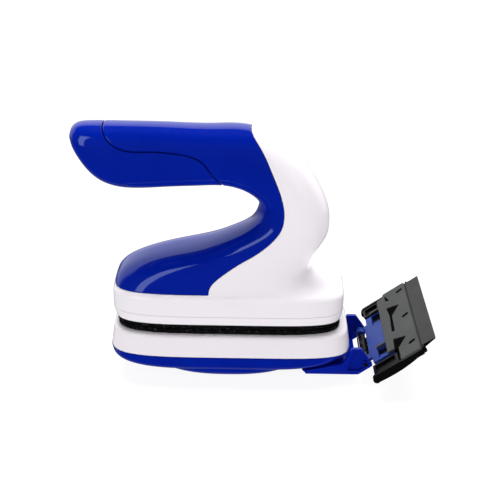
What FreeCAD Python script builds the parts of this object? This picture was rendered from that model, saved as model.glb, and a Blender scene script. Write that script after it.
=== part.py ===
"""Hand-held magnetic glass cleaner: a handled dry unit, a floating wet unit and a clip-on blade scraper.

Frame: millimetres, +Z up, +X towards the scraper, origin at the centre of the small flat foot under the
float. The glass would stand in the narrow gap between the two black pads.
"""
import FreeCAD, Part
import Sketcher
import math
import os

Vector = FreeCAD.Vector
UP = Vector(0, 0, 1)
ACROSS = Vector(0, 1, 0)

doc = FreeCAD.newDocument("glass_cleaner")

# ---------------------------------------------------------------------------------------------------------
# Driving dimensions
# ---------------------------------------------------------------------------------------------------------
DIMENSIONS = [
    # float unit
    ("seam_height", 20.5, "height of the seam between the float cover and the white shell"),
    ("float_length", 143.9, "float unit at its seam"),
    ("float_width", 61.0, "float unit at its seam"),
    ("float_shift", 2.05, "float unit's mid-length, rearward of the foot's"),
    ("shell_wall", 2.2, "wall of every moulded shell"),
    ("inner_shell_height", 13.4, "white shell of the float unit"),
    ("inner_shell_draft", 1.6, "how far the white shell leans in towards the pad"),
    ("inner_shell_round", 1.6, "rounded upper edge of the white shell"),
    ("cover_floor", 8.5, "height of the flat bottom of the float cover beside the keel"),
    # pads
    ("pad_length", 133.2, "both pads"),
    ("pad_width", 52.0, "both pads"),
    ("scrub_shift", 1.0, "scrubbing pad's mid-length, rearward of the foot's"),
    ("pad_corner", 17.0, "plan corner of both pads"),
    ("pad_thickness", 3.1, "each pad"),
    ("glass_gap", 0.4, "between the pads when the units are stored together"),
    ("pad_rim", 0.8, "rounded edge of each pad"),
    # handled unit
    ("base_length", 137.4, "handled unit"),
    ("base_width", 58.8, "handled unit"),
    ("base_shift", 0.5, "mid-length of the handled unit and of all magnets, rearward of the foot's"),
    ("base_plate_height", 6.6, "white tub under the housing"),
    ("base_wall_height", 12.3, "white wall above the tub"),
    ("base_top_round", 3.2, "rounded top edge of the white wall"),
    ("loop_seam_rise", 0.25, "loop shell's lower edge above the white wall"),
    # magnets and their trays
    ("magnet_length", 36.0, "block magnet, along X"),
    ("magnet_width", 18.0, "block magnet, along Y"),
    ("magnet_thickness", 10.0, "block magnet, along Z"),
    ("magnet_edge", 0.6, "edge chamfer of a magnet"),
    ("magnet_offset_x", 26.0, "magnet centre from the middle"),
    ("magnet_offset_y", 11.5, "magnet centre from the middle"),
    ("tray_length", 104.0, "magnet tray"),
    ("tray_width", 47.0, "magnet tray"),
    ("tray_corner", 6.0, "plan corner of the tray"),
    ("tray_height", 8.0, "magnet tray"),
    ("magnet_clearance", 0.15, "between a magnet and its window"),
    ("yoke_length", 96.0, "steel yoke plate"),
    ("yoke_width", 43.0, "steel yoke plate"),
    ("yoke_corner", 4.0, "plan corner of the yoke plate"),
    ("yoke_thickness", 1.5, "steel yoke plate"),
    ("stack_gap", 0.05, "between a magnet and the wall or plate beside it"),
    # screws
    ("screw_offset_x", 58.0, "base screw from the middle"),
    ("screw_offset_y", 15.0, "base screw from the middle"),
    ("screw_radius", 1.4, "shank"),
    ("screw_head_radius", 2.7, "head"),
    ("screw_head_height", 1.8, "head"),
    ("screw_length", 12.0, "shank"),
    ("boss_radius", 3.6, "screw boss in the shells"),
    ("screw_cross", 3.6, "cross recess in a screw head"),
    ("screw_cross_width", 0.7, "cross recess in a screw head"),
    ("screw_cross_depth", 1.0, "cross recess in a screw head"),
    # scraper bracket
    ("bracket_outer", 22.5, "outside of each arm from the middle"),
    ("bracket_wall", 2.2, "arm"),
    ("tongue_left", 45.4, "free end of the tongue"),
    ("tongue_chamfer", 2.0, "chamfered lower edge of that end"),
    ("tongue_bottom", 6.1, "height of the underside of the bracket"),
    ("tongue_top", 8.1, "height of the upper side of the tongue"),
    ("tongue_right", 79.0, "where the bevel of the arms starts"),
    ("rail_left", 47.5, "T rail under the float cover"),
    ("rail_right", 68.0, "T rail under the float cover"),
    ("rail_stem", 9.4, "width of the stem of the T rail"),
    ("rail_head", 15.0, "width of the head of the T rail"),
    ("rail_head_bottom", 4.1, "height of the underside of the rail's head"),
    ("rail_head_top", 5.8, "height of the upper side of the rail's head"),
    ("rail_clearance", 0.3, "round the T rail"),
    ("arm_left", 75.0, "rear edge of the arms"),
    ("arm_bend", 69.6, "where the rear edge of the arms turns into their long lower part"),
    ("arm_top", 23.6, "height of the arms"),
    ("arm_shoulder", 80.4, "where the front edge of the arms starts to slope"),
    ("arm_tip", 87.5, "foremost point of the arms"),
    ("arm_tip_low", 12.2, "height of the lower corner of that tip"),
    ("arm_tip_high", 13.4, "height of the upper corner of that tip"),
    ("recess_depth", 1.0, "hollow in the outside of each arm"),
    ("recess_left", 72.8, "rear edge of the hollow"),
    ("recess_low", 8.6, "height of the lower edge of the hollow"),
    ("recess_bend", 79.8, "where the lower edge of the hollow starts to rise"),
    ("recess_tip", 85.9, "foremost point of the hollow"),
    ("recess_shoulder", 79.7, "where the front edge of the hollow starts to slope"),
    ("recess_rear", 76.1, "upper rear corner of the hollow"),
    ("recess_top", 22.4, "height of the upper edge of the hollow"),
    # scraper pivot
    ("pivot_x", 83.5, "pivot of the scraper"),
    ("pivot_z", 13.0, "pivot of the scraper"),
    ("scraper_tilt", 36.0, "how far the scraper stands up at rest, in degrees"),
    ("pin_radius", 1.2, "pivot pin"),
    ("pin_length", 46.6, "pivot pin"),
    ("pin_running", 0.05, "radial clearance of the pin in the turning pieces"),
    ("knuckle_radius", 2.8, "hinge knuckles of the scraper"),
    ("knuckle_outer", 20.0, "outside of the blue knuckles from the middle"),
    ("knuckle_inner", 14.2, "inside of the blue knuckles from the middle"),
    ("hub_outer", 9.6, "outside of the carrier's hub from the middle"),
    # scraper pieces, in the scraper's own tilted frame: along the slope, across, and up from the pivot
    ("swing_low", -0.9, "underside of the swing plate"),
    ("swing_high", 0.9, "upper side of the swing plate"),
    ("swing_wing", 27.0, "half width of the swing plate outside the arms"),
    ("swing_wing_start", 5.6, "where the swing plate widens"),
    ("swing_end", 20.0, "end of the swing plate under the clamp"),
    ("opening_start", 9.6, "rear edge of the swing plate's two openings"),
    ("opening_end", 19.2, "front edge of the swing plate's two openings"),
    ("far_opening_near", 20.6, "far opening"),
    ("far_opening_far", 26.4, "far opening"),
    ("near_opening_far", -15.4, "near opening"),
    ("near_opening_near", -20.2, "near opening"),
    ("carrier_start", 4.8, "rear of the carrier's end boxes"),
    ("carrier_half", 42.5, "half width of the carrier"),
    ("carrier_box_inner", 30.0, "inside of the end boxes from the middle"),
    ("carrier_box_end", 21.6, "front of the end boxes"),
    ("carrier_floor_start", 8.6, "rear edge of the carrier's floor"),
    ("carrier_end", 37.0, "front of the carrier"),
    ("carrier_floor_low", -2.7, "underside of the carrier's floor"),
    ("carrier_floor_high", -1.1, "upper side of the carrier's floor"),
    ("carrier_wall", 1.6, "end walls of the carrier"),
    ("carrier_wall_low", -4.2, "lower rear corner of the end walls"),
    ("carrier_front_low", -1.6, "lower front corner of the end walls"),
    ("carrier_belly", 22.0, "lowest point of the end walls, along the slope"),
    ("carrier_belly_low", -4.6, "lowest point of the end walls"),
    ("carrier_top", 0.9, "upper side of the end boxes and walls"),
    ("lug_radius", 2.4, "round lug at the rear of each end wall"),
    ("lug_drop", -2.2, "height of the lugs"),
    ("clamp_start", 16.4, "rear edge of the clamp plate"),
    ("clamp_end", 37.4, "front edge of the clamp plate"),
    ("clamp_low", 1.0, "underside of the clamp plate"),
    ("clamp_high", 2.4, "upper side of the clamp plate"),
    ("clamp_bevel", 0.9, "sloped front edge of the clamp plate"),
    ("bar_near", 27.5, "near end of the clamp's rear bar, from the middle"),
    ("bar_far", 38.5, "far end of the clamp's rear bar, from the middle"),
    ("finger_start", 9.6, "free end of the clamp's two fingers"),
    ("finger_width", 1.6, "each finger"),
    ("far_finger", 28.2, "inner edge of the far finger, from the middle"),
    ("near_finger", 13.4, "inner edge of the near finger, from the middle"),
    ("window_rear", 21.6, "rear edge of the windows"),
    ("window_slot_front", 24.0, "front edge of the narrow slots"),
    ("window_funnel_front", 30.6, "front corner of the funnels"),
    ("window_wide", 23.0, "outer corner of the middle funnel"),
    ("window_corner", 19.0, "front corner of the middle funnel"),
    ("window_neck", 10.0, "where the middle funnel becomes a slot"),
    ("window_slot_end", 8.6, "end of the middle slot, on the other side of the middle"),
    ("window_pitch", 39.7, "from one funnel to the next"),
    ("oval_middle", 32.9, "rivet slots, along the slope"),
    ("oval_length", 3.8, "rivet slots"),
    ("oval_width", 1.3, "rivet slots"),
    ("oval_pitch", 33.0, "from one rivet slot to the next"),
    ("oval_shift", 2.4, "middle rivet slot, towards the far side"),
    ("triangle_far", 40.2, "far corner of the far window"),
    ("triangle_front", 25.0, "front corner of the far window, along the slope"),
    ("triangle_near", 30.2, "front corner of the far window, from the middle"),
    ("triangle_rear", 32.0, "near rear corner of the far window"),
    ("blade_start", 25.0, "rear edge of the blade, under the clamp"),
    ("blade_end", 47.2, "cutting edge"),
    ("blade_half", 40.2, "half width of the blade"),
    ("blade_low", 0.1, "underside of the blade"),
    ("blade_high", 0.9, "upper side of the blade under the clamp"),
    ("blade_body", 37.9, "where the thick, open part of the blade starts"),
    ("blade_top", 2.1, "upper side of that part"),
    ("blade_edge", 0.2, "thickness left at the cutting edge"),
    ("spring_wire", 0.35, "radius of the torsion spring's wire"),
    ("spring_radius", 2.1, "mean radius of the torsion spring"),
    ("spring_start", 10.3, "first end of the spring's coil, from the middle"),
    ("spring_coil", 3.2, "length of the spring's coil"),
    ("spring_turns", 4.0, "turns of the spring's coil"),
]

sheet = doc.addObject("Spreadsheet::Sheet", "dimensions")
for row, (alias, value, meaning) in enumerate(DIMENSIONS, start=1):
    sheet.set(f"A{row}", meaning)
    sheet.set(f"B{row}", str(value))
    sheet.setAlias(f"B{row}", alias)
doc.recompute()


def words(text):
    """The signed aliases of a sum such as "arm_tip -bracket_wall"."""
    return [(-1.0 if word.startswith("-") else 1.0, word.lstrip("+-")) for word in text.split()]


def dim(text):
    """The value of a sum of aliases; "" is nought."""
    return sum(sign * float(sheet.get(alias)) for sign, alias in words(text))


def formula(text, flip=False, scale=""):
    """The same sum as an expression that FreeCAD keeps bound to the sheet."""
    terms = [f"{'-' if (sign < 0) != flip else '+'} dimensions.{alias}" for sign, alias in words(text)]
    return f"({' '.join(terms)}){scale}"


# ---------------------------------------------------------------------------------------------------------
# Helpers for sketched pieces
# ---------------------------------------------------------------------------------------------------------
MIN_CUT = 1e-3  # the least volume, in mm3, that counts as a cut
NEAR = 1e-6


def new_body(label):
    body = doc.addObject("PartDesign::Body", label)
    body.Label = label
    return body


def place(body, x="", y="", z=""):
    """Bind a body's position to the sheet."""
    for axis, text in (("x", x), ("y", y), ("z", z)):
        if text:
            body.setExpression(f"Placement.Base.{axis}", formula(text))


def place_on_scraper(body):
    """Put a body's own frame at the scraper's pivot, tilted up by the scraper's rest angle."""
    body.Placement = FreeCAD.Placement(Vector(0, 0, 0), FreeCAD.Rotation(Vector(0, -1, 0), 1.0))
    place(body, x="pivot_x", z="pivot_z")
    body.setExpression("Placement.Rotation.Angle", formula("scraper_tilt", scale=" * 1 deg"))


def new_sketch(body, name, role="XY_Plane", offset=""):
    sketch = body.newObject("Sketcher::SketchObject", name)
    base_plane = next(item for item in body.Origin.OriginFeatures if item.Role == role)
    sketch.AttachmentSupport = [(base_plane, "")]
    sketch.MapMode = "FlatFace"
    if offset:
        # the XZ plane's normal is -Y, so a positive offset there moves the sketch towards -Y
        sketch.setExpression("AttachmentOffset.Base.z", formula(offset))
    return sketch


def tie(sketch, kind, first, second, text):
    """Hold the distance between two sketch points to a sum of aliases, whatever its sign."""
    if dim(text) < 0:
        index = sketch.addConstraint(Sketcher.Constraint(kind, *second, *first, -dim(text)))
        sketch.setExpression(f"Constraints[{index}]", formula(text, flip=True))
    else:
        index = sketch.addConstraint(Sketcher.Constraint(kind, *first, *second, dim(text)))
        sketch.setExpression(f"Constraints[{index}]", formula(text))


def polygon(sketch, corners):
    """A closed polygon; each corner is a pair of alias sums, and "" holds it to an axis."""
    places = [Vector(dim(x), dim(y), 0) for x, y in corners]
    first = sketch.GeometryCount
    count = len(corners)
    for index in range(count):
        sketch.addGeometry(Part.LineSegment(places[index], places[(index + 1) % count]), False)
    for index in range(count):
        nxt = (index + 1) % count
        sketch.addConstraint(Sketcher.Constraint("Coincident", first + index, 2, first + nxt, 1))
    for index, (x, y) in enumerate(corners):
        corner = (first + index, 1)
        if x:
            tie(sketch, "DistanceX", (-1, 1), corner, x)
        else:
            sketch.addConstraint(Sketcher.Constraint("PointOnObject", *corner, -2))
        if y:
            tie(sketch, "DistanceY", (-1, 1), corner, y)
        else:
            sketch.addConstraint(Sketcher.Constraint("PointOnObject", *corner, -1))


def centred_rectangle(sketch, length, width):
    """A rectangle about the sketch's origin, its sides bound to the sheet."""
    half_x = dim(length) / 2
    half_y = dim(width) / 2
    corners = [Vector(-half_x, -half_y, 0), Vector(half_x, -half_y, 0),
               Vector(half_x, half_y, 0), Vector(-half_x, half_y, 0)]
    for index in range(4):
        sketch.addGeometry(Part.LineSegment(corners[index], corners[(index + 1) % 4]), False)
    for index in range(4):
        sketch.addConstraint(Sketcher.Constraint("Coincident", index, 2, (index + 1) % 4, 1))
    for index, kind in enumerate(("Horizontal", "Vertical", "Horizontal", "Vertical")):
        sketch.addConstraint(Sketcher.Constraint(kind, index))
    sketch.addConstraint(Sketcher.Constraint("Symmetric", 0, 1, 2, 1, -1, 1))
    tie(sketch, "DistanceX", (0, 1), (0, 2), length)
    tie(sketch, "DistanceY", (1, 1), (1, 2), width)


def circle(sketch, x, y, radius):
    index = sketch.addGeometry(Part.Circle(Vector(dim(x), dim(y), 0), UP, dim(radius)), False)
    if x:
        tie(sketch, "DistanceX", (-1, 1), (index, 3), x)
    else:
        sketch.addConstraint(Sketcher.Constraint("PointOnObject", index, 3, -2))
    if y:
        tie(sketch, "DistanceY", (-1, 1), (index, 3), y)
    else:
        sketch.addConstraint(Sketcher.Constraint("PointOnObject", index, 3, -1))
    held = sketch.addConstraint(Sketcher.Constraint("Radius", index, dim(radius)))
    sketch.setExpression(f"Constraints[{held}]", formula(radius))


def pad(body, sketch, length, middle=False):
    feature = body.newObject("PartDesign::Pad", f"{sketch.Name}_pad")
    feature.Profile = sketch
    feature.Midplane = middle
    feature.setExpression("Length", formula(length))
    sketch.Visibility = False
    body.Tip = feature
    doc.recompute()
    return feature


def pocket(body, sketch, depth=""):
    """A cut through everything, or to a depth on the side that the sketch faces."""
    feature = body.newObject("PartDesign::Pocket", f"{sketch.Name}_pocket")
    feature.Profile = sketch
    if depth:
        feature.Reversed = True
        feature.setExpression("Length", formula(depth))
    else:
        feature.Type = "ThroughAll"
        feature.Midplane = True
    body.Tip = feature
    before = body.Shape.Volume
    doc.recompute()
    if body.Shape.Volume > before - MIN_CUT:
        raise RuntimeError(f"{feature.Name} cut nothing")
    return feature


def mirror(body, features, role):
    feature = body.newObject("PartDesign::Mirrored", f"{features[0].Name}_mirrored")
    feature.Originals = features
    mirror_plane = next(item for item in body.Origin.OriginFeatures if item.Role == role)
    feature.MirrorPlane = (mirror_plane, [""])
    body.Tip = feature
    doc.recompute()
    return feature


def vertical_edges(shape):
    """Names of the straight edges that run along Z."""
    names = []
    for index, edge in enumerate(shape.Edges, start=1):
        span = edge.Vertexes[-1].Point - edge.Vertexes[0].Point
        if span.Length > NEAR and abs(abs(span.normalize().z) - 1.0) < NEAR:
            names.append(f"Edge{index}")
    return names


def edges_at(shape, height):
    """Names of the edges that lie at one height."""
    return [f"Edge{index}" for index, edge in enumerate(shape.Edges, start=1)
            if abs(edge.BoundBox.ZMin - height) < NEAR and abs(edge.BoundBox.ZMax - height) < NEAR]


def dress(body, kind, names, size_property, size):
    """A fillet or a chamfer on named edges of the body so far."""
    base = body.Tip
    feature = body.newObject(f"PartDesign::{kind}", f"{body.Label}_{kind.lower()}")
    feature.Base = (base, names)
    feature.setExpression(size_property, formula(size))
    body.Tip = feature
    doc.recompute()
    return feature


# ---------------------------------------------------------------------------------------------------------
# Helpers for free-form shells
# ---------------------------------------------------------------------------------------------------------
SECTION_POINTS = 48
HALF_POINTS = 20
NOSE_BLUNTNESS = 4.3
TAIL_BLUNTNESS = 5.0


def superellipse(angle, exponent):
    """The point of a unit superellipse that lies in a given direction."""
    c = math.cos(angle)
    s = math.sin(angle)
    radius = (abs(c) ** exponent + abs(s) ** exponent) ** (-1 / exponent)
    return radius * c, radius * s


def closed_spline(points):
    curve = Part.BSplineCurve()
    curve.interpolate(Points=points, PeriodicFlag=True)
    return Part.Wire([curve.toShape()])


def plan_wire(half_length, half_width, height, shift=0.0, nose=NOSE_BLUNTNESS, tail=TAIL_BLUNTNESS):
    """The rounded oblong outline of the two units, seen from above."""
    points = []
    for step in range(SECTION_POINTS):
        angle = 2 * math.pi * step / SECTION_POINTS
        along, across = superellipse(angle, tail if math.cos(angle) > 0 else nose)
        points.append(Vector(shift + half_length * along, half_width * across, height))
    return closed_spline(points)


def plan_block(half_length, half_width, bottom, top, shift=0.0):
    face = Part.Face(plan_wire(half_length, half_width, bottom, shift))
    return face.extrude(Vector(0, 0, top - bottom))


def free_form(label, shape, placement=FreeCAD.Placement()):
    feature = doc.addObject("Part::Feature", label)
    feature.Label = label
    feature.Shape = shape
    feature.Placement = placement
    return feature


def post(x, y, bottom, top, radius):
    return Part.makeCylinder(radius, top - bottom, Vector(x, y, bottom))


wall = dim("shell_wall")
seam = dim("seam_height")
inner_top = seam + dim("inner_shell_height")
scrub_top = inner_top + dim("pad_thickness")
felt_bottom = scrub_top + dim("glass_gap")
plate_bottom = felt_bottom + dim("pad_thickness")
plate_top = plate_bottom + dim("base_plate_height")
base_top = plate_top + dim("base_wall_height")
base_shift = dim("base_shift")
CORNERS = [(sx, sy) for sx in (-1, 1) for sy in (-1, 1)]

# ---------------------------------------------------------------------------------------------------------
# Float unit shells
# ---------------------------------------------------------------------------------------------------------
# Hull of the float cover, one row for each level: height, half length, half width, shift along X
HULL_LEVELS = [
    (20.5, 71.95, 30.5, 2.05),
    (17.5, 70.35, 29.8, 0.75),
    (14.5, 67.5, 28.7, -0.3),
    (11.5, 61.9, 26.8, -1.1),
    (9.5, 52.7, 24.4, -1.2),
    (8.5, 41.0, 20.5, -1.0),
]
# Lens-shaped keel under the hull, ending in the flat foot
KEEL_LEVELS = [
    (10.5, 46.0, 25.0),
    (8.0, 44.4, 24.3),
    (5.5, 41.6, 22.6),
    (3.0, 34.6, 19.4),
    (1.2, 25.2, 15.6),
    (0.45, 19.6, 12.9),
    (0.0, 15.0, 10.5),
]
KEEL_BLUNTNESS = 2.5


def hull_loft(inset):
    floor_rise = [0.0] * (len(HULL_LEVELS) - 1) + [inset]
    wires = [plan_wire(half_x - inset, half_y - inset, height + rise, shift)
             for (height, half_x, half_y, shift), rise in zip(HULL_LEVELS, floor_rise)]
    return Part.makeLoft(wires, True)


def keel_loft(inset):
    levels = [(height + inset, half_x - inset, half_y - inset) for height, half_x, half_y in KEEL_LEVELS]
    wires = [plan_wire(half_x, half_y, height, nose=KEEL_BLUNTNESS, tail=KEEL_BLUNTNESS)
             for height, half_x, half_y in levels]
    return Part.makeLoft(wires, True)


def bracket_rail():
    """T rail that carries the scraper bracket's tongue."""
    left = dim("rail_left")
    length = dim("rail_right -rail_left")
    stem_width = dim("rail_stem")
    head_width = dim("rail_head")
    head_low = dim("rail_head_bottom")
    head_high = dim("rail_head_top")
    stem_height = dim("pivot_z") - head_high
    stem = Part.makeBox(length, stem_width, stem_height, Vector(left, -stem_width / 2, head_high))
    head = Part.makeBox(length, head_width, head_high - head_low, Vector(left, -head_width / 2, head_low))
    return stem.fuse(head)


hull_outside = hull_loft(0.0).fuse(keel_loft(0.0)).fuse(bracket_rail())
hull_inside = hull_loft(wall).fuse(keel_loft(wall))
free_form("float_cover", hull_outside.cut(hull_inside).removeSplitter())

half_x = dim("float_length") / 2
half_y = dim("float_width") / 2
float_shift = dim("float_shift")
draft = dim("inner_shell_draft")
shell_outside = Part.makeLoft(
    [plan_wire(half_x, half_y, seam, float_shift),
     plan_wire(half_x - draft, half_y - draft / 2, inner_top, float_shift)], True, True)
rim = [edge for edge in shell_outside.Edges if edge.BoundBox.ZMin > inner_top - 0.01]
shell_outside = shell_outside.makeFillet(dim("inner_shell_round"), rim)
shell_inside = plan_block(half_x - draft - wall, half_y - draft - wall, seam, inner_top - wall, float_shift)
free_form("inner_housing", shell_outside.cut(shell_inside))

# ---------------------------------------------------------------------------------------------------------
# Handled unit shells
# ---------------------------------------------------------------------------------------------------------
# The handle grows out of the base, rises as a neck and turns back over it as the grip. One row for each
# section: the point inside the loop (x, z), the point outside it (x, z), the half width, and how blunt the
# section is on its inner side and on its outer side.
HANDLE_SECTIONS = [
    (-68.0, 56.0, 50.0, 56.0, 27.8, 4.2, 3.0),
    (-65.2, 64.8, 47.0, 62.5, 25.6, 3.4, 2.8),
    (-53.5, 73.0, 47.8, 69.5, 23.6, 2.8, 2.6),
    (-33.0, 79.4, 51.0, 77.0, 21.6, 2.5, 2.4),
    (-15.0, 83.7, 55.0, 83.5, 20.4, 2.4, 2.3),
    (1.0, 90.0, 58.5, 90.5, 19.2, 2.3, 2.3),
    (13.2, 97.3, 59.2, 97.5, 18.5, 2.3, 2.3),
    (17.3, 105.0, 58.5, 105.5, 18.2, 2.3, 2.3),
    (17.4, 110.0, 54.8, 115.5, 18.0, 2.3, 2.3),
    (12.4, 115.1, 46.5, 129.5, 17.6, 2.4, 2.4),
    (5.0, 118.4, 33.5, 143.5, 17.0, 2.4, 2.4),
    (-5.0, 120.1, 14.0, 153.8, 16.6, 2.5, 2.5),
    (-18.0, 119.6, -9.0, 154.8, 16.3, 2.5, 2.5),
    (-35.0, 118.6, -33.0, 155.2, 16.0, 2.5, 2.5),
    (-54.0, 117.5, -57.0, 155.5, 15.8, 2.5, 2.5),
    (-68.5, 119.6, -74.0, 155.5, 15.2, 2.5, 2.5),
    (-79.0, 126.5, -84.5, 155.0, 13.6, 2.4, 2.4),
    (-86.2, 136.5, -88.8, 153.0, 10.4, 2.2, 2.2),
    (-89.3, 144.0, -90.2, 150.0, 5.0, 2.0, 2.0),
]
# Where the blue loop shell meets the white housing, seen from the side
NECK_SEAM = [(10.0, 162.0), (12.0, 155.5), (18.4, 145.3), (25.1, 131.3), (30.5, 116.9), (32.1, 106.0),
             (30.8, 98.4), (25.5, 90.8), (17.0, 83.8), (6.1, 77.3), (-4.2, 70.2), (-10.6, 62.6)]
NECK_SEAM_FOOT = -10.9
# Where the lower grip shell meets the loop shell, seen from the side
GRIP_SEAM = [(-71.6, 162.0), (-71.4, 155.1), (-67.0, 147.9), (-59.4, 143.9), (-44.4, 143.2), (-30.5, 142.5),
             (-20.1, 140.4), (-14.0, 136.8), (-9.5, 130.3), (-5.2, 124.8), (-2.0, 117.0)]


def section_half(section, side, inset=0.0, inner_inset=0.0):
    """Points of one half of a section, from the outside of the loop to the inside; side is +1 or -1."""
    inner = Vector(section[0], 0, section[1])
    outer = Vector(section[2], 0, section[3])
    direction = (outer - inner).normalize()
    inner = inner + direction * inner_inset
    outer = outer - direction * inset
    middle = (inner + outer) * 0.5
    reach = (outer - inner).Length / 2
    points = []
    for step in range(HALF_POINTS + 1):
        exponent = section[6] if step < HALF_POINTS / 2 else section[5]
        along, across = superellipse(math.pi * step / HALF_POINTS, exponent)
        points.append(middle + direction * (reach * along) + ACROSS * (side * (section[4] - inset) * across))
    return points


def inner_insets(inset):
    """How far the inner points move for an even wall, where the section plane meets the surface at a slant."""
    insets = []
    for index, section in enumerate(HANDLE_SECTIONS):
        before = HANDLE_SECTIONS[max(index - 1, 0)]
        after = HANDLE_SECTIONS[min(index + 1, len(HANDLE_SECTIONS) - 1)]
        run = Vector(after[0] - before[0], 0, after[1] - before[1]).normalize()
        direction = Vector(section[2] - section[0], 0, section[3] - section[1]).normalize()
        insets.append(inset / max(run.cross(direction).Length, 0.4))
    return insets


def skin_solid(halves):
    """A closed solid from the point grids of its two halves, with flat ends."""
    faces = []
    for grid in halves:
        surface = Part.BSplineSurface()
        surface.interpolate(grid)
        faces.append(surface.toShape())
    start, end = 0, 2
    caps = [Part.Face(Part.Wire([face.Edges[which] for face in faces])) for which in (start, end)]
    skin = Part.makeShell(faces + caps)
    skin.sewShape()
    solid = Part.makeSolid(skin)
    if solid.Volume < 0:
        solid.reverse()
    return solid


def handle_solid():
    return skin_solid([[section_half(section, side) for section in HANDLE_SECTIONS] for side in (1, -1)])


def handle_cavity(inset):
    pairs = list(zip(HANDLE_SECTIONS, inner_insets(inset)))[:-1]
    return skin_solid([[section_half(section, side, inset, inner) for section, inner in pairs]
                       for side in (1, -1)])


# The slabs that divide the shells reach past the object: across it, forward of it and above it
REGION_DEPTH = 100.0
REGION_LEFT = -110.0
REGION_TOP = 162.0
REGION_LOW = 105.0


def side_region(seam_points, closing_points):
    """A slab across the whole width: bounded by a seam curve and closed by straight edges."""
    curve = Part.BSplineCurve()
    side = -REGION_DEPTH / 2
    curve.interpolate(Points=[Vector(x, side, z) for x, z in seam_points])
    corners = [seam_points[-1]] + closing_points + [seam_points[0]]
    edges = [curve.toShape()]
    for start, end in zip(corners[:-1], corners[1:]):
        edges.append(Part.LineSegment(Vector(start[0], side, start[1]), Vector(end[0], side, end[1])).toShape())
    return Part.Face(Part.Wire(edges)).extrude(ACROSS * REGION_DEPTH)


seam_level = base_top + dim("loop_seam_rise")
base_half_x = dim("base_length") / 2
base_half_y = dim("base_width") / 2
base_block = plan_block(base_half_x, base_half_y, plate_top, base_top, base_shift)
top_edges = [edge for edge in base_block.Edges if edge.BoundBox.ZMin > base_top - 0.01]
base_block = base_block.makeFillet(dim("base_top_round"), top_edges)
base_cavity = plan_block(base_half_x - wall, base_half_y - wall, plate_top, base_top - wall, base_shift)

shell = base_block.fuse(handle_solid()).cut(base_cavity.fuse(handle_cavity(wall)))
blue_region = side_region(NECK_SEAM, [(NECK_SEAM_FOOT, seam_level), (REGION_LEFT, seam_level),
                                      (REGION_LEFT, REGION_TOP)])
lower_region = side_region(GRIP_SEAM, [(GRIP_SEAM[-1][0], REGION_LOW), (REGION_LEFT, REGION_LOW),
                                       (REGION_LEFT, REGION_TOP)])
blue_shell = shell.common(blue_region)

SCREW_PLACES = [(base_shift + sx * dim("screw_offset_x"), sy * dim("screw_offset_y")) for sx, sy in CORNERS]
PAST = 1.0  # how far a hole's cutting cylinder reaches beyond the wall that it opens
bosses = [post(x, y, plate_top, base_top - wall / 2, dim("boss_radius")) for x, y in SCREW_PLACES]
pilots = [post(x, y, plate_top - PAST, plate_bottom + dim("screw_length"), dim("screw_radius"))
          for x, y in SCREW_PLACES]
housing = shell.cut(blue_region).fuse(bosses).cut(pilots)
free_form("outer_housing", housing)
free_form("loop_shell", blue_shell.cut(lower_region))
free_form("grip_lower_shell", blue_shell.common(lower_region))

tub = plan_block(base_half_x, base_half_y, plate_bottom, plate_top, base_shift)
tub = tub.cut(plan_block(base_half_x - wall, base_half_y - wall, plate_bottom + wall, plate_top, base_shift))
tub_posts = [post(x, y, plate_bottom, plate_top, dim("boss_radius")) for x, y in SCREW_PLACES]
head_top = plate_bottom + dim("screw_head_height")
tub_holes = [post(x, y, plate_bottom - PAST, plate_top + PAST, dim("screw_radius")) for x, y in SCREW_PLACES]
tub_holes += [post(x, y, plate_bottom - PAST, head_top, dim("screw_head_radius")) for x, y in SCREW_PLACES]
free_form("outer_base_plate", tub.fuse(tub_posts).cut(tub_holes))


def base_screw(x, y):
    head = post(x, y, plate_bottom, head_top, dim("screw_head_radius"))
    shank = post(x, y, head_top, plate_bottom + dim("screw_length"), dim("screw_radius"))
    long = dim("screw_cross")
    short = dim("screw_cross_width")
    slots = [Part.makeBox(size_x, size_y, dim("screw_cross_depth"),
                          Vector(x - size_x / 2, y - size_y / 2, plate_bottom))
             for size_x, size_y in ((long, short), (short, long))]
    return head.fuse(shank).cut(slots)


free_form("base_screws", Part.makeCompound([base_screw(x, y) for x, y in SCREW_PLACES]))

# ---------------------------------------------------------------------------------------------------------
# Pads, magnets, trays and yoke plates
# ---------------------------------------------------------------------------------------------------------


def slab(label, length, width, corner, thickness):
    """An oblong plate with rounded corners, about its own origin."""
    body = new_body(label)
    sketch = new_sketch(body, f"{label}_outline")
    centred_rectangle(sketch, length, width)
    feature = pad(body, sketch, thickness)
    dress(body, "Fillet", vertical_edges(feature.Shape), "Radius", corner)
    return body


felt_pad = slab("felt_pad", "pad_length", "pad_width", "pad_corner", "pad_thickness")
dress(felt_pad, "Fillet", edges_at(felt_pad.Shape, 0.0), "Radius", "pad_rim")
place(felt_pad, x="base_shift", z="seam_height inner_shell_height pad_thickness glass_gap")

scrub_pad = slab("scrub_pad", "pad_length", "pad_width", "pad_corner", "pad_thickness")
dress(scrub_pad, "Fillet", edges_at(scrub_pad.Shape, dim("pad_thickness")), "Radius", "pad_rim")
place(scrub_pad, x="scrub_shift", z="seam_height inner_shell_height")


def magnet(label, sx, sy, x, z):
    body = new_body(label)
    sketch = new_sketch(body, f"{label}_outline")
    centred_rectangle(sketch, "magnet_length", "magnet_width")
    feature = pad(body, sketch, "magnet_thickness")
    every_edge = [f"Edge{index}" for index in range(1, len(feature.Shape.Edges) + 1)]
    dress(body, "Chamfer", every_edge, "Size", "magnet_edge")
    sign_x = "" if sx > 0 else "-"
    sign_y = "" if sy > 0 else "-"
    place(body, x=f"{x} {sign_x}magnet_offset_x", y=f"{sign_y}magnet_offset_y", z=z)


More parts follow.
